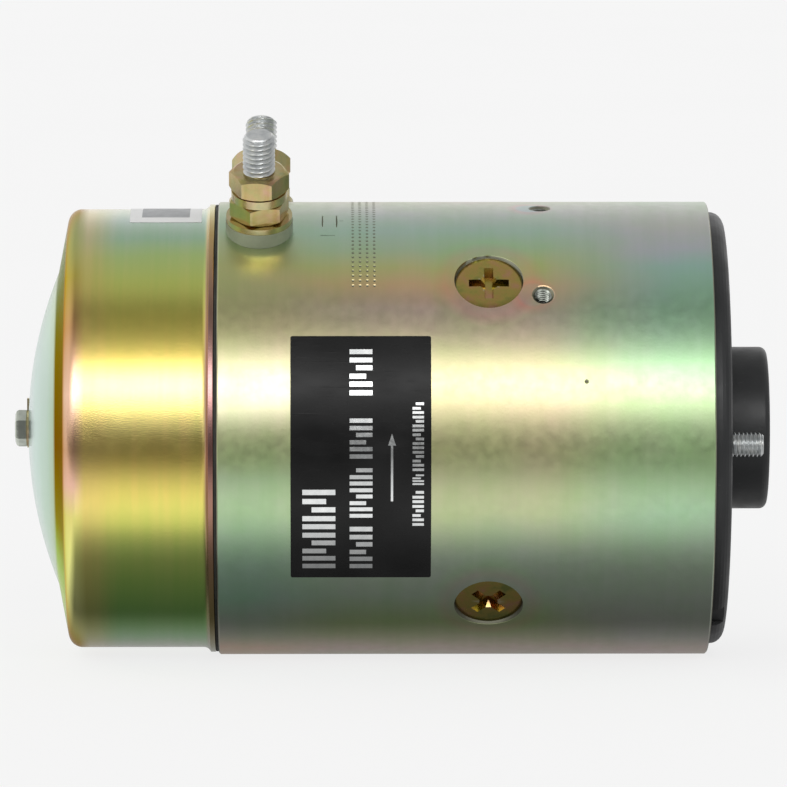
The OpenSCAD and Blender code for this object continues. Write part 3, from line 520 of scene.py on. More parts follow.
finishes = {
    "yoke_zinc": yoke_finish(),
    "cap_zinc": cap_finish(),
    "fastener_zinc": fastener_finish(),
    "silver_zinc": silver_finish(),
    "black_enamel": enamel_finish(),
    "cast_bracket": metal("cast_aluminium", (.34, .34, .35), (.52, .52, .52), 0.5, 90.0, 0.00006).material,
    "gasket_rubber": dielectric("gasket", (.012, .013, .010), (.030, .032, .024), 0.7).material,
    "seal_rubber": dielectric("nitrile", (.010, .010, .012), (.024, .024, .027), 0.45).material,
    "pole_iron": metal("pole_iron", (.24, .23, .22), (.42, .40, .38), 0.42).material,
    "coil_tape": tape_finish(),
    "copper": metal("bare_copper", (.60, .26, .13), (.80, .42, .25), 0.3, 260.0, 0.00001, TURNED).material,
    "winding_copper": winding_finish(),
    "copper_braid": braid_finish(),
    "bush_nylon": dielectric("nylon", (.21, .235, .165), (.32, .345, .25), 0.38, 90.0, coat=0.15).material,
    "laminate": dielectric("paper_laminate", (.13, .055, .022), (.24, .11, .045), 0.35, 400.0,
                           coat=0.2).material,
    "holder_brass": metal("pressed_brass", (.55, .38, .12), (.78, .60, .25), 0.32).material,
    "carbon": dielectric("copper_graphite", (.030, .024, .021), (.075, .055, .046), 0.4, 1500.0).material,
    "spring_steel": metal("spring_steel", (.22, .23, .26), (.42, .42, .45), 0.3).material,
    "bearing_steel": metal("ground_steel", (.62, .62, .64), (.78, .78, .79), 0.14, 220.0, 0.000004,
                           TURNED).material,
    "cage_brass": metal("cage_brass", (.60, .42, .15), (.82, .64, .30), 0.28).material,
    "shaft_steel": metal("shaft_steel", (.44, .44, .46), (.64, .64, .65), 0.24, 240.0, 0.000006,
                         TURNED).material,
    "core_steel": lamination_finish(),
    "commutator_resin": dielectric("moulded_resin", (.055, .018, .009), (.12, .045, .022), 0.4).material,
    "label_film": label_finish(),
    "sticker_film": dielectric("white_film", (.74, .75, .74), (.84, .84, .83), 0.35, 60.0, 1e-5).material,
}

# Finishes of single pieces, where one slot holds pieces of differing looks
bright_zinc = metal("bright_zinc", (.46, .50, .43), (.64, .68, .60), 0.13).material
tapped_steel = metal("tapped_steel", (.10, .11, .09), (.42, .44, .40), 0.2, 500.0).material
print_foil = metal("silver_foil", (.72, .74, .74), (.84, .85, .84), 0.22, 600.0, 0.000004).material
sticker_grey = dielectric("sticker_print", (.30, .31, .32), (.38, .39, .40), 0.4, 300.0, 0.000006).material

for row in frame["record"]["subparts"]:
    node = nodes[row["node"]]
    for place in node.material_slots:
        place.material = finishes[row["material_slot"]]


# ---------- Mesh helpers ----------

def finished(bm, name, sharp=32.0):
    """Mesh from a bmesh, smooth but for edges sharper than this many degrees."""
    bmesh.ops.remove_doubles(bm, verts=bm.verts, dist=1e-7)
    bmesh.ops.dissolve_degenerate(bm, edges=bm.edges, dist=1e-8)
    bmesh.ops.recalc_face_normals(bm, faces=bm.faces)
    mesh = bpy.data.meshes.new(name)
    bm.to_mesh(mesh)
    bm.free()
    mesh.shade_smooth()
    mesh.set_sharp_from_angle(angle=math.radians(sharp))
    return mesh


def piece(name, mesh, slot, stands_for=(), body="root", material=None):
    """Object for a mesh that lies in the row frame; body None leaves it unattached."""
    thing = bpy.data.objects.new(name, mesh)
    bpy.context.scene.collection.objects.link(thing)
    mesh.materials.clear()
    mesh.materials.append(material or finishes[slot])
    if stands_for:
        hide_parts(*stands_for)
    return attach(thing, body) if body else thing


def join_rings(bm, rings, closed=False):
    """Skins rings of equally many vertices; a ring of one vertex is a pole."""
    pairs = zip(rings, rings[1:] + rings[:1]) if closed else zip(rings, rings[1:])
    for a, b in pairs:
        count = max(len(a), len(b))
        for i in range(count):
            j = (i + 1) % count
            corners = [a[i % len(a)], a[j % len(a)], b[j % len(b)], b[i % len(b)]]
            corners = [v for k, v in enumerate(corners) if v not in corners[:k]]
            if len(corners) > 2:
                bm.faces.new(corners)


def arc(centre, radius, start, end, steps):
    """(x, radius) points on an arc; 0 degrees points away from the shaft and 90 towards +X."""
    angles = [math.radians(start + (end - start) * i / steps) for i in range(steps + 1)]
    return [(centre[0] + radius * math.sin(a), centre[1] + radius * math.cos(a)) for a in angles]


def turned(bm, outline, sides=192, place=Matrix.Identity(4)):
    """Closed solid of revolution about the shaft, from an (x, radius) outline of its whole section."""
    rings = []
    for x, r in outline:
        angles = [2 * math.pi * i / sides for i in range(sides if r > 1e-9 else 1)]
        rings.append([bm.verts.new(place @ Vector((x, r * math.cos(a), r * math.sin(a)))) for a in angles])
    join_rings(bm, rings, closed=outline[0][1] > 1e-9)


def outward(elevation, x, turn=0.0):
    """Frame of a radial part: local z points out of the shaft at that elevation, and x along the shaft."""
    e = math.radians(elevation)
    columns = ((1, 0, 0), (0, math.sin(e), math.cos(e)), (0, -math.cos(e), math.sin(e)))
    place = Matrix(columns).transposed().to_4x4()
    return Matrix.Translation((x, 0, 0)) @ place @ Matrix.Rotation(math.radians(turn), 4, "Z")


# Turns a solid about the shaft into one about local z, and back
TO_Z = Matrix(((0, 1, 0, 0), (0, 0, 1, 0), (1, 0, 0, 0), (0, 0, 0, 1)))
TO_X = TO_Z.inverted()


def block(bm, corners):
    """Convex solid over some points."""
    made = bmesh.ops.convex_hull(bm, input=[bm.verts.new(c) for c in corners])
    spare = {v for v in made["geom_interior"] + made["geom_unused"] if isinstance(v, bmesh.types.BMVert)}
    bmesh.ops.delete(bm, geom=list(spare), context="VERTS")


def carved(base, cutters, name):
    """Mesh of base with each cutter mesh taken out of it."""
    solid = bpy.data.objects.new(name, base)
    bpy.context.scene.collection.objects.link(solid)
    tools = []
    for cutter in cutters:
        tool = bpy.data.objects.new(name + "_cutter", cutter)
        bpy.context.scene.collection.objects.link(tool)
        tools.append(tool)
        step = solid.modifiers.new("cut", "BOOLEAN")
        step.operation, step.solver, step.object = "DIFFERENCE", "EXACT", tool
    bpy.context.view_layer.update()
    result = bpy.data.meshes.new_from_object(solid.evaluated_get(bpy.context.evaluated_depsgraph_get()))
    result.name = name
    for thing in [solid] + tools:
        bpy.data.objects.remove(thing)
    return result


def wrapped(bm, outline, inner, outer):
    """Thin curved slab on a cylinder, from (elevation, x0, x1) rows."""
    rings = []
    for e, x0, x1 in outline:
        section = ((x0, inner), (x1, inner), (x1, outer), (x0, outer))
        rings.append([bm.verts.new(around(e, r, x)) for x, r in section])
    join_rings(bm, rings)
    bm.faces.new(rings[0])
    bm.faces.new(rings[-1])


def strip(e0, e1, x0, x1, step=2.0):
    """Rows of a plain rectangle for wrapped()."""
    count = max(1, math.ceil(abs(e1 - e0) / step))
    return [(e0 + (e1 - e0) * i / count, x0, x1) for i in range(count + 1)]


def swept(bm, path, section, up):
    """Tube along a path that is never parallel to up; section(share) gives (sideways, upwards) points."""
    rings = []
    for i, point in enumerate(path):
        ahead = path[min(i + 1, len(path) - 1)] - path[max(i - 1, 0)]
        side = up.cross(ahead).normalized()
        lift = ahead.cross(side).normalized()
        rings.append([bm.verts.new(point + side * u + lift * v) for u, v in section(i / (len(path) - 1))])
    join_rings(bm, rings)
    bm.faces.new(rings[0])
    bm.faces.new(rings[-1])


# ---------- End cap: drawn cup with a rolled lip ----------

DOME_CENTRE = cap_low.x + math.sqrt(DOME_R ** 2 - SEAT_R ** 2)
DOME_STEPS = 40
SCREW_HOLE_R = 2.7 * MM
EDGE_BEND = 0.35 * MM
LIP_BEND = 0.3 * MM
LIP_FILLET = 2.0 * MM


def cap_side(depth):
    """Outline from the corner to the seat of the screw, at a depth under the outer face."""
    points = arc((CORNER_X, CAP_R - CORNER_R), CORNER_R - depth, 0, -76, 18)
    rim = math.asin(DOME_RIM_R / DOME_R)
    seat = math.asin(SEAT_R / DOME_R)
    for i in range(DOME_STEPS + 1):
        a = rim + (seat - rim) * i / DOME_STEPS
        points.append((DOME_CENTRE - (DOME_R - depth) * math.cos(a), (DOME_R - depth) * math.sin(a)))
    return points


outline = [(LIP_X, CAP_R)]
outline += arc((LIP_X - EDGE_BEND, LIP_R - EDGE_BEND), EDGE_BEND, 90, 0, 5)
outline += arc((LIP_X - LIP_STEP, LIP_R - LIP_BEND), LIP_BEND, 0, -30, 4)
outline += arc((LIP_X - LIP_STEP - LIP_FILLET, CAP_R + LIP_FILLET), LIP_FILLET, 117, 180, 10)
outline += cap_side(0.0)
outline += [(cap_low.x, SCREW_HOLE_R), (cap_low.x + CAP_SHEET, SCREW_HOLE_R)]
outline += reversed(cap_side(CAP_SHEET))
outline += [(SEAM_X, CAP_R - CAP_SHEET), (SEAM_X, CAP_R)]
bm = bmesh.new()
turned(bm, outline, sides=320)
piece("end_cap_shell", finished(bm, "end_cap_shell", 28), "cap_zinc", ["end_cap"])

# Seam ring, stepped where the lip of the cap reaches over it
RING_R = ring_high.y - 0.4 * MM
RING_BORE_R = 54.6 * MM
RING_BEVEL = 0.1 * MM
LIP_GAP = 0.05 * MM
bm = bmesh.new()
turned(bm, [
    (ring_low.x, RING_BORE_R), (ring_high.x, RING_BORE_R), (ring_high.x, RING_R - RING_BEVEL),
    (ring_high.x - RING_BEVEL, RING_R), (LIP_X + LIP_GAP, RING_R), (LIP_X + LIP_GAP, CAP_R - 0.1 * MM),
    (ring_low.x, CAP_R - 0.1 * MM),
], sides=240)
piece("seam_ring", finished(bm, "seam_ring"), "gasket_rubber", ["cap_gasket"])

# Screw in the middle of the cap: a hexagon with rounded ends on a plain shank
screw_low, screw_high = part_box("cap_screw")
washer_low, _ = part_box("cap_lock_washer")
SCREW_CORNER_R = (screw_high.z - screw_low.z) / 2 / math.cos(math.pi / 6)
SCREW_SHANK_R = 2.45 * MM
SCREW_POINT_R = 2.0 * MM
bm = bmesh.new()
corners = []
for x, scale in (
    (washer_low.x, 0.96), (washer_low.x - 0.2 * MM, 1.0), (screw_low.x + 0.9 * MM, 1.0),
    (screw_low.x + 0.35 * MM, 0.93), (screw_low.x, 0.76),
):
    for i in range(6):
        a = math.pi * i / 3
        corners.append((x, SCREW_CORNER_R * scale * math.sin(a), SCREW_CORNER_R * scale * math.cos(a)))
block(bm, corners)
shank_x = washer_low.x - 0.1 * MM
turned(bm, [
    (shank_x, 0), (shank_x, SCREW_SHANK_R), (screw_high.x - 0.5 * MM, SCREW_SHANK_R),
    (screw_high.x, SCREW_POINT_R), (screw_high.x, 0),
], sides=40)
piece("cap_screw_hex", finished(bm, "cap_screw_hex", 15), "fastener_zinc", ["cap_screw"],
      material=bright_zinc)


# ---------- Yoke: the CAD tube with its punched marks cut in ----------

def punch(bm, elevation, x, radius, depth):
    """Blunt cone that leaves a punched dot."""
    place = outward(elevation, x)
    corners = []
    for r, z in ((1.15 * radius, YOKE_R + 0.1 * MM), (0.45 * radius, YOKE_R - depth)):
        for i in range(10):
            a = math.pi * i / 5
            corners.append(place @ Vector((r * math.cos(a), r * math.sin(a), z)))
    block(bm, corners)


def groove(bm, start, end, half_width, depth):
    """V-shaped chisel stroke between two (elevation, x) points."""
    a, b = (around(e, YOKE_R, x) for e, x in (start, end))
    out = around((start[0] + end[0]) / 2, 1.0, 0.0).normalized()
    side = (b - a).cross(out).normalized() * half_width
    above = out * 0.25 * MM
    corners = []
    for p in (a, b):
        corners += [p + side * 1.3 + above, p - side * 1.3 + above, p - out * depth]
    block(bm, corners)


GRID_X0 = YOKE_X0 + 33.6 * MM
GRID_COLUMNS, GRID_PITCH = 4, 1.77 * MM
GRID_ROWS, GRID_START, GRID_STEP = 30, 43.2, 1.65
DOT_R, DOT_DEPTH = 0.52 * MM, 0.26 * MM
STROKE_HALF, STROKE_DEPTH = 0.32 * MM, 0.25 * MM
# Ends of each stroke: degrees up, and mm behind the grid's first column
STROKES = (
    ((66.5, 7.5), (73.6, 7.5)), ((66.3, 4.0), (73.8, 4.0)),
    ((70.0, 3.3), (70.0, 2.3)), ((62.2, 8.0), (62.2, 4.4)),
)
grid = bmesh.new()
for column in range(GRID_COLUMNS):
    for row in range(GRID_ROWS):
        punch(grid, GRID_START + GRID_STEP * row, GRID_X0 + GRID_PITCH * column, DOT_R, DOT_DEPTH)
strokes = bmesh.new()
for ends in STROKES:
    start, end = ((up, GRID_X0 - behind * MM) for up, behind in ends)
    groove(strokes, start, end, STROKE_HALF, STROKE_DEPTH)
tube = bmesh.new()
tube.from_mesh(nodes["yoke_tube"].data)
yoke = carved(finished(tube, "tube"), [finished(grid, "grid"), finished(strokes, "strokes")], "yoke_shell")
yoke.shade_smooth()
yoke.set_sharp_from_angle(angle=math.radians(26))

# The cutting loses the tube's round normals, so its skin gets them back
SKIN_TOLERANCE = 0.05 * MM
normals = [Vector((0, 0, 0))] * len(yoke.loops)
for face in yoke.polygons:
    corners = [Vector((0, *yoke.vertices[v].co[1:])) for v in face.vertices]
    on_skin = all(abs(c.length - YOKE_R) < SKIN_TOLERANCE for c in corners)
    if on_skin and abs(face.normal.x) < 0.05:
        for loop, corner in zip(face.loop_indices, corners):
            normals[loop] = corner.normalized()
yoke.normals_split_custom_set(normals)
piece("yoke_shell", yoke, "yoke_zinc", ["yoke_tube"])


# ---------- Threads ----------

def threaded(bm, place, radius, pitch, start, end, chamfer, sides=60, per_pitch=12):
    """Outer thread about local z with a chamfered end; crests and roots are flat."""
    depth = 0.6 * pitch
    rows = math.ceil((end - start) / pitch * per_pitch)
    rings = [[bm.verts.new(place @ Vector((0, 0, start)))]]
    for k in range(rows + 1):
        z = start + (end - start) * k / rows
        ring = []
        for i in range(sides):
            phase = (z / pitch - i / sides) % 1.0
            rise = min(max((1 - abs(2 * phase - 1) - 0.10) / 0.78, 0.0), 1.0)
            r = min(radius - depth * (1 - rise), radius - chamfer + (end - z))
            a = 2 * math.pi * i / sides
            ring.append(bm.verts.new(place @ Vector((r * math.cos(a), r * math.sin(a), z))))
        rings.append(ring)
    rings.append([bm.verts.new(place @ Vector((0, 0, end)))])
    join_rings(bm, rings)


def inner_thread(bm, place, radius, pitch, start, end, depth):
    """Ridge of a tapped hole about local z: base in the wall and crest towards the axis."""
    steps = 48
    base_r = radius + 0.05 * MM
    count = int((end - start) / pitch * steps)
    rings = []
    for k in range(count + 1):
        a = 2 * math.pi * k / steps
        z = start + pitch * k / steps
        ring = []
        for r, dz in ((base_r, -0.42), (radius - depth, -0.06), (radius - depth, 0.06), (base_r, 0.42)):
            ring.append(bm.verts.new(place @ Vector((r * math.cos(a), r * math.sin(a), z + dz * pitch))))
        rings.append(ring)
    join_rings(bm, rings)
    bm.faces.new(rings[0])
    bm.faces.new(rings[-1])


def radial_place(mount):
    """outward() frame of a mount that points away from the shaft."""
    axis, x = mount["axis"], mount["pos_m"][0]
    return outward(math.degrees(math.atan2(axis[2], -axis[1])), x)


# Terminal studs: head inside the yoke, and an M8 thread with a chamfered tip
STUD_LOW, STUD_HIGH = 45.6 * MM, 49.2 * MM
STUD_HEAD_R = 6.0 * MM
STUD_BEVEL = 0.4 * MM
STUD_CHAMFER = 0.9 * MM
M8_PITCH = 1.25 * MM
for name in ("front_terminal", "rear_terminal"):
    mount = mounts[name]
    place = radial_place(mount)
    tip = Vector(mount["pos_m"][1:]).length + mount["dims"]["length_mm"] * MM / 2 + STUD_CHAMFER
    bm = bmesh.new()
    turned(bm, [
        (STUD_LOW, 0), (STUD_LOW, STUD_HEAD_R - STUD_BEVEL), (STUD_LOW + STUD_BEVEL, STUD_HEAD_R),
        (STUD_HIGH, STUD_HEAD_R), (STUD_HIGH, 0),
    ], sides=48, place=place @ TO_Z)
    threaded(bm, place, mount["dims"]["r_mm"] * MM, M8_PITCH, STUD_HIGH - 0.2 * MM, tip, STUD_CHAMFER)
    piece(name + "_stud", finished(bm, name), "silver_zinc", ["terminal_studs"])

M5_PITCH, M5_DEPTH = 0.8 * MM, 0.42 * MM
TAP_LOW, TAP_HIGH = YOKE_R - 5.2 * MM, YOKE_R - 0.8 * MM
for name in TAPPED_HOLES:
    bm = bmesh.new()
    inner_thread(bm, radial_place(mounts[name]), TAP_R, M5_PITCH, TAP_LOW, TAP_HIGH, M5_DEPTH)
    piece(name + "_thread", finished(bm, name), "yoke_zinc", material=tapped_steel)

# Through bolts: hexagon head, plain shank and an M6 thread at the drive end
bolt_low, bolt_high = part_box("through_bolts")
BOLT_CIRCLE_R = mounts["flange_studs"]["dims"]["pcd_mm"] * MM / 2
BOLT_R = mounts["flange_studs"]["dims"]["stud_r_mm"] * MM
BOLT_SHANK_R = BOLT_R - 0.25 * MM
BOLT_CORNER_R = (bolt_high.z - bolt_low.z) / 2 / math.cos(math.pi / 6)
BOLT_HEAD_END = bolt_low.x + 4.0 * MM
BOLT_THREAD_X = -14.0 * MM
M6_PITCH = 1.0 * MM
for side, name in ((-1, "front"), (1, "rear")):
    place = Matrix.Translation((0, side * BOLT_CIRCLE_R, 0))
    bm = bmesh.new()
    corners = []
    for x, scale in ((bolt_low.x + 0.5 * MM, 1.0), (BOLT_HEAD_END, 1.0), (bolt_low.x, 0.86)):
        for i in range(6):
            a, r = math.pi * i / 3, BOLT_CORNER_R * scale
            corners.append(place @ Vector((x, r * math.cos(a), r * math.sin(a))))
    block(bm, corners)
    turned(bm, [
        (BOLT_HEAD_END - 0.1 * MM, 0), (BOLT_HEAD_END - 0.1 * MM, BOLT_SHANK_R),
        (BOLT_THREAD_X, BOLT_SHANK_R), (BOLT_THREAD_X, 0),
    ], sides=40, place=place)
    threaded(bm, place @ TO_X, BOLT_R, M6_PITCH, BOLT_THREAD_X - 0.2 * MM, bolt_high.x, 0.7 * MM, sides=48)
    piece(name + "_through_bolt", finished(bm, name + "_bolt"), "silver_zinc", ["through_bolts"])


# ---------- Pole screws: flat heads with a cross recess ----------

POLE_TOP = YOKE_R - 1.1 * MM
POLE_SHANK_R = 4.0 * MM
POLE_END = 39.1 * MM
# Heights on the head, down from its crown
POLE_RIM = POLE_TOP - 0.6 * MM
POLE_CROWN = 0.26 * MM


def recess_cutters(place):
    """Two crossed tapered blades and the flared centre of a cross recess."""
    meshes = []
    for quarter in (0, 90):
        spin = place @ Matrix.Rotation(math.radians(quarter), 4, "Z")
        blade = bmesh.new()
        corners = []
        for length, half, z in ((5.05, 1.15, 0.15), (4.9, 1.08, 0.0), (3.8, 0.8, -2.7)):
            for u, v in ((-1, -1), (-1, 1), (1, -1), (1, 1)):
                corners.append(spin @ Vector((u * length * MM, v * half * MM, POLE_TOP + z * MM)))
        block(blade, corners)
        meshes.append(finished(blade, "blade"))
    centre = bmesh.new()
    spin = place @ Matrix.Rotation(math.radians(22.5), 4, "Z")
    corners = []
    for r, z in ((2.55, 0.12), (2.3, -0.1), (0.9, -2.7)):
        for i in range(8):
            a = math.pi * i / 4
            corners.append(spin @ Vector((r * MM * math.cos(a), r * MM * math.sin(a), POLE_TOP + z * MM)))
    block(centre, corners)
    return meshes + [finished(centre, "flare")]


for number, elevation in enumerate(POLE_ELEVATIONS, 1):
    place = outward(elevation, POLE_X, 0 if elevation > 0 else 45)
    outline = [
        (POLE_END, 0), (POLE_END, POLE_SHANK_R - 0.6 * MM), (POLE_END + 0.6 * MM, POLE_SHANK_R),
        (POLE_RIM - (POLE_HEAD_R - POLE_SHANK_R), POLE_SHANK_R), (POLE_RIM, POLE_HEAD_R),
        (POLE_RIM + 0.18 * MM, POLE_HEAD_R), (POLE_RIM + 0.30 * MM, POLE_HEAD_R - 0.06 * MM),
    ]
    for share in (1, .8, .6, .4, .2, 0):
        outline.append((POLE_TOP - POLE_CROWN * share ** 2, (POLE_HEAD_R - 0.2 * MM) * share))
    bm = bmesh.new()
    turned(bm, outline, sides=96, place=place @ TO_Z)
    name = f"pole_screw_{number}"
    mesh = carved(finished(bm, name), recess_cutters(place), name)
    mesh.shade_smooth()
    mesh.set_sharp_from_angle(angle=math.radians(24))
    piece(name, mesh, "fastener_zinc", ["pole_screws"])


# ---------- Label and sticker ----------

PRINT_R = -label_low.y
FILM_R = PRINT_R - 0.03 * MM
LABEL_TOP = math.degrees(math.asin(label_high.z / PRINT_R))
LABEL_BOTTOM = math.degrees(math.asin(label_low.z / PRINT_R))


def rounded_film(e0, e1, x0, x1, corner, radius):
    """Rows of a film with rounded corners for wrapped(); corner is in metres."""
    lift = math.degrees(corner / radius)
    angles = [math.pi / 2 * k / 4 for k in range(5)]
    ends = [(lift * (1 - math.cos(a)), corner * (1 - math.sin(a))) for a in angles]
    rows = [(e0 + up, x0 + cut, x1 - cut) for up, cut in ends]
    rows += strip(e0 + lift, e1 - lift, x0, x1)[1:-1]
    return rows + [(e1 - up, x0 + cut, x1 - cut) for up, cut in reversed(ends)]


bm = bmesh.new()
wrapped(bm, rounded_film(LABEL_BOTTOM, LABEL_TOP, label_low.x, label_high.x, 0.5 * MM, FILM_R),
        YOKE_R + 0.02 * MM, FILM_R)
piece("rating_label_film", finished(bm, "rating_label_film"), "label_film", ["rating_label"])


def printed(bm, rows):
    """Print on the label, from rows of degrees up and two ends in mm from the label's left edge."""
    rows = [(e, label_low.x + left * MM, label_low.x + right * MM) for e, left, right in rows]
    wrapped(bm, rows, FILM_R - 0.005 * MM, PRINT_R)


def line_of_marks(bm, e0, e1, left, right, count):
    """Stands in for a word: upright strokes of varied reach, in a plain rhythm that spells nothing."""
    cell = (e1 - e0) / count
    tall = right - left
    for i in range(count):
        start = e0 + cell * i
        reach = 0.72 if i % 3 == 1 else 1.0
        printed(bm, strip(start, start + 0.30 * cell, left, left + tall * reach))
        foot = 0.28 if i % 2 else 0.0
        printed(bm, strip(start + 0.52 * cell, start + 0.82 * cell, left + tall * foot, right))


# Lines of print: left and right edge in mm, and the (start, end, cells) of their words in degrees
PRINT_LINES = (
    (2.9, 11.0, ((-31.9, -9.3, 5),)),
    (14.5, 20.1, ((-31.9, -19.1, 3), (-17.4, -4.1, 4), (-2.3, 8.2, 3), (13.3, 25.7, 3))),
    (29.9, 32.7, ((-19.6, -10.0, 4), (-8.9, -6.0, 2), (-5.4, 11.9, 8))),
)
bm = bmesh.new()
for left, right, words in PRINT_LINES:
    for start, end, count in words:
        line_of_marks(bm, start, end, left, right, count)
# Arrow for the direction of rotation: shaft and head
printed(bm, strip(-13.1, 1.2, 24.6, 25.15))
printed(bm, [(0.9, 23.9, 25.85), (2.2, 24.35, 25.4), (3.8, 24.84, 24.9)])
piece("rating_label_print", finished(bm, "rating_label_print"), "label_film", ["rating_label"],
      material=print_foil)

STICKER_R = sticker_high.z
STICKER_TOP, STICKER_BOTTOM = 102.0, 73.5
BAND_TOP, BAND_BOTTOM = 96.0, 77.5
BAND_MARGIN = 3.0 * MM
bm = bmesh.new()
wrapped(bm, rounded_film(STICKER_BOTTOM, STICKER_TOP, sticker_low.x, sticker_high.x, 0.4 * MM, CAP_R),
        CAP_R + 0.02 * MM, STICKER_R - 0.03 * MM)
piece("cap_sticker_film", finished(bm, "cap_sticker_film"), "sticker_film", ["cap_sticker"])
bm = bmesh.new()
wrapped(bm, strip(BAND_BOTTOM, BAND_TOP, sticker_low.x + BAND_MARGIN, sticker_high.x - BAND_MARGIN),
        STICKER_R - 0.035 * MM, STICKER_R)
piece("cap_sticker_band", finished(bm, "cap_sticker_band"), "sticker_film", ["cap_sticker"],
      material=sticker_grey)


# ---------- Brush springs and leads ----------

brush_low, brush_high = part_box("brush_1")
BRUSH_X = (brush_low.x + brush_high.x) / 2
ROOF_R = 45.3 * MM
SPRING_FOOT = 35.1 * MM
SPRING_R = 3.0 * MM
SPRING_TURNS = 4
SPRING_STEPS = 48 * SPRING_TURNS
WIRE_R = 0.45 * MM
LEAD_R = 0.9 * MM
# Route of a lead as in part.scad, in mm in its brush's own frame
LEAD_ROUTE = (
    (-8.1, 0, 33), (-9.6, 0, 33), (-10.6, 0.8, 33.6), (-10.9, 3, 34.4), (-10.8, 6, 35.2),
    (-10, 8.2, 35.8), (-8, 9.4, 36.2), (-4, 9.6, 36.4), (2, 9.6, 36.4), (7, 9.6, 36.4), (10, 9.6, 36.4),
)


def wire_section(_):
    """Round wire."""
    return [(WIRE_R * math.cos(a), WIRE_R * math.sin(a)) for a in (math.pi * k / 6 for k in range(12))]


def braid_section(share):
    """Six strands, laid with a twist."""
    points = []
    for k in range(36):
        a = 2 * math.pi * k / 36
        r = LEAD_R * (0.80 + 0.20 * abs(math.cos(3 * a + 40 * share)))
        points.append((r * math.cos(a), r * math.sin(a)))
    return points


def smooth_path(points, steps):
    """Catmull-Rom curve through points."""
    ends = [points[0] * 2 - points[1]] + list(points) + [points[-1] * 2 - points[-2]]
    curve = []
    for a, b, c, d in zip(ends, ends[1:], ends[2:], ends[3:]):
        for k in range(steps):
            t = k / steps
            curve.append(0.5 * (2 * b + (c - a) * t + (2 * a - 5 * b + 4 * c - d) * t * t
                                + (3 * b - a - 3 * c + d) * t ** 3))
    return curve + [points[-1]]


for number in range(1, 5):
    slide = joints[f"brush_{number}_slide"]
    axis = Vector(slide["axis"])
    place = outward(math.degrees(math.atan2(axis.z, -axis.y)), BRUSH_X)
    bm = bmesh.new()
    rise = ROOF_R - SPRING_FOOT - 2 * WIRE_R
    path = []
    for k in range(SPRING_STEPS + 1):
        share = k / SPRING_STEPS
        a = 2 * math.pi * SPRING_TURNS * share
        height = SPRING_FOOT + WIRE_R + rise * share
        path.append(place @ Vector((SPRING_R * math.cos(a), SPRING_R * math.sin(a), height)))
    swept(bm, path, wire_section, axis)
    spring = piece(f"brush_spring_coil_{number}", finished(bm, "spring"), "spring_steel",
                   [f"brush_spring_{number}"], body=None)
    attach(spring, "root")
    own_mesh(spring)

    bm = bmesh.new()
    route = smooth_path([place @ (Vector(p) * MM) for p in LEAD_ROUTE], 6)
    swept(bm, route, braid_section, place.to_3x3() @ Vector((0.1, 0.25, 1)).normalized())
    lead = piece(f"brush_lead_braid_{number}", finished(bm, "lead", 50), "copper_braid",
                 [f"brush_lead_{number}"], body=None)
    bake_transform(lead)


# ---------- Camera ----------

CAMERA_AWAY = 1.88
CAMERA_RISE = math.radians(5.0)
CAMERA_X = -99.9 * MM
TARGET = Vector((-82.85 * MM, 0.0, 8.7 * MM))
camera_data = bpy.data.cameras.new("camera")
camera_data.sensor_width = 36.0
camera_data.lens = 341.0
camera_data.clip_end = 100.0
camera = bpy.data.objects.new("camera", camera_data)
bpy.context.scene.collection.objects.link(camera)
camera.location.x = CAMERA_X
camera.location.y = -CAMERA_AWAY * math.cos(CAMERA_RISE)
camera.location.z = TARGET.z + CAMERA_AWAY * math.sin(CAMERA_RISE)
camera.rotation_euler = (TARGET - camera.location).to_track_quat("-Z", "Y").to_euler()
bpy.context.scene.camera = camera
bpy.context.scene.view_settings.view_transform = "Standard"


# ---------- Studio ----------

world = bpy.data.worlds.new("softboxes")
world.use_nodes = True
bpy.context.scene.world = world
g = Graph(world.node_tree)
background = world.node_tree.nodes["Background"]
x, y, z = g.split(g.add("ShaderNodeTexCoord").outputs["Generated"])
height = g.span(g.math("ARCTAN2", z, g.math("MULTIPLY", y, -1.0)), 0.0, math.pi)

# Brightness by degrees up from the front, over the top to the back; darker beyond both ends of the shaft
SOFTBOX = (
    (0, .14), (4, .26), (9, .72), (14, 1.25), (18, 1.8), (23, 3.7), (30, 3.7), (35, 2.4), (42, 1.0),
    (49, .56), (58, .34), (66, .27), (74, .29), (79, .46), (95, .52), (110, .56), (128, .56), (145, .75),
    (160, 1.0), (180, 1.0),
)
FULL = 4.0
light = g.ramp(height, [(angle / 180, level / FULL) for angle, level in SOFTBOX])
light = g.mix(g.span(x, -0.35, -0.85), light, 0.22)
light = g.mix(g.span(x, 0.35, 0.85), light, 0.12)
seen = g.add("ShaderNodeLightPath").outputs["Is Camera Ray"]
g.link(g.mix(seen, light, 1 / FULL), background.inputs["Color"])
background.inputs["Strength"].default_value = FULL
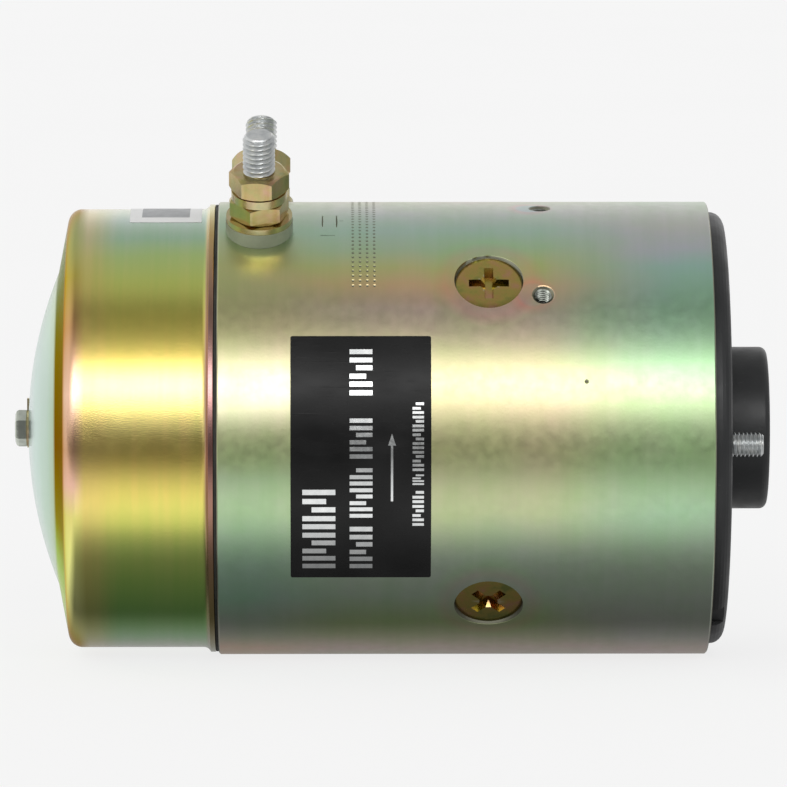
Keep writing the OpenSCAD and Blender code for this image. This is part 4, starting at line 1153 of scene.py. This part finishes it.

# Pale floor: white paper to the eye, and to the metal a glow that changes along y, the depth of the set: painted
# light in front of and behind the motor, with a painted shadow under it
FLOOR_HALF = 30.0
bm = bmesh.new()
square = ((-1, -1), (1, -1), (1, 1), (-1, 1))
bm.faces.new([bm.verts.new((u * FLOOR_HALF, v * FLOOR_HALF, FLOOR_Z)) for u, v in square])
mesh = bpy.data.meshes.new("floor")
bm.to_mesh(mesh)
bm.free()
floor = bpy.data.objects.new("floor", mesh)
bpy.context.scene.collection.objects.link(floor)
f = Finish("floor_paper", roughness=0.9)
f.colour(f.ramp(f.noise(3.0), [(0.3, (.80, .80, .80)), (0.7, (.83, .83, .83))]))
mesh.materials.append(f.material)
x, y, _ = f.split(f.position)
# Painted glow along y, seen only in reflections: bright bands in front and behind, and a painted shadow under the
# motor
BOUNCE_AND_SHADOW = (
    (-0.40, .20), (-0.30, .26), (-0.20, .60), (-0.145, .98), (-0.11, 1.1), (-0.09, .82), (-0.075, .42),
    (-0.06, .22), (-0.03, .11), (-0.018, .30), (0.0, .42), (0.10, .80), (0.20, .80),
)
front, back = BOUNCE_AND_SHADOW[0][0], BOUNCE_AND_SHADOW[-1][0]
stops = [((place - front) / (back - front), level) for place, level in BOUNCE_AND_SHADOW]
bounce_and_shadow = f.ramp(f.span(y, front, back), stops)
near = f.span(y, -0.24, -0.12)
bounce_and_shadow = f.mix(f.math("MULTIPLY", near, f.span(x, cap_low.x + 0.005, cap_low.x - 0.020)), bounce_and_shadow, 0.85)
bounce_and_shadow = f.mix(f.math("MULTIPLY", near, f.span(x, 0.0, 0.03)), bounce_and_shadow, 0.55)
glow = f.add("ShaderNodeEmission")
f.link(bounce_and_shadow, glow.inputs["Color"])
paper = f.add("ShaderNodeEmission")
paper.inputs["Color"].default_value = (1, 1, 1, 1)
soft = f.add("ShaderNodeMixShader")
soft.inputs[0].default_value = 0.22
f.link(paper.outputs[0], soft.inputs[1])
f.link(f.shader.outputs[0], soft.inputs[2])
choose = f.add("ShaderNodeMixShader")
f.link(f.add("ShaderNodeLightPath").outputs["Is Camera Ray"], choose.inputs[0])
f.link(glow.outputs[0], choose.inputs[1])
f.link(soft.outputs[0], choose.inputs[2])
f.link(choose.outputs[0], f.tree.nodes["Material Output"].inputs["Surface"])
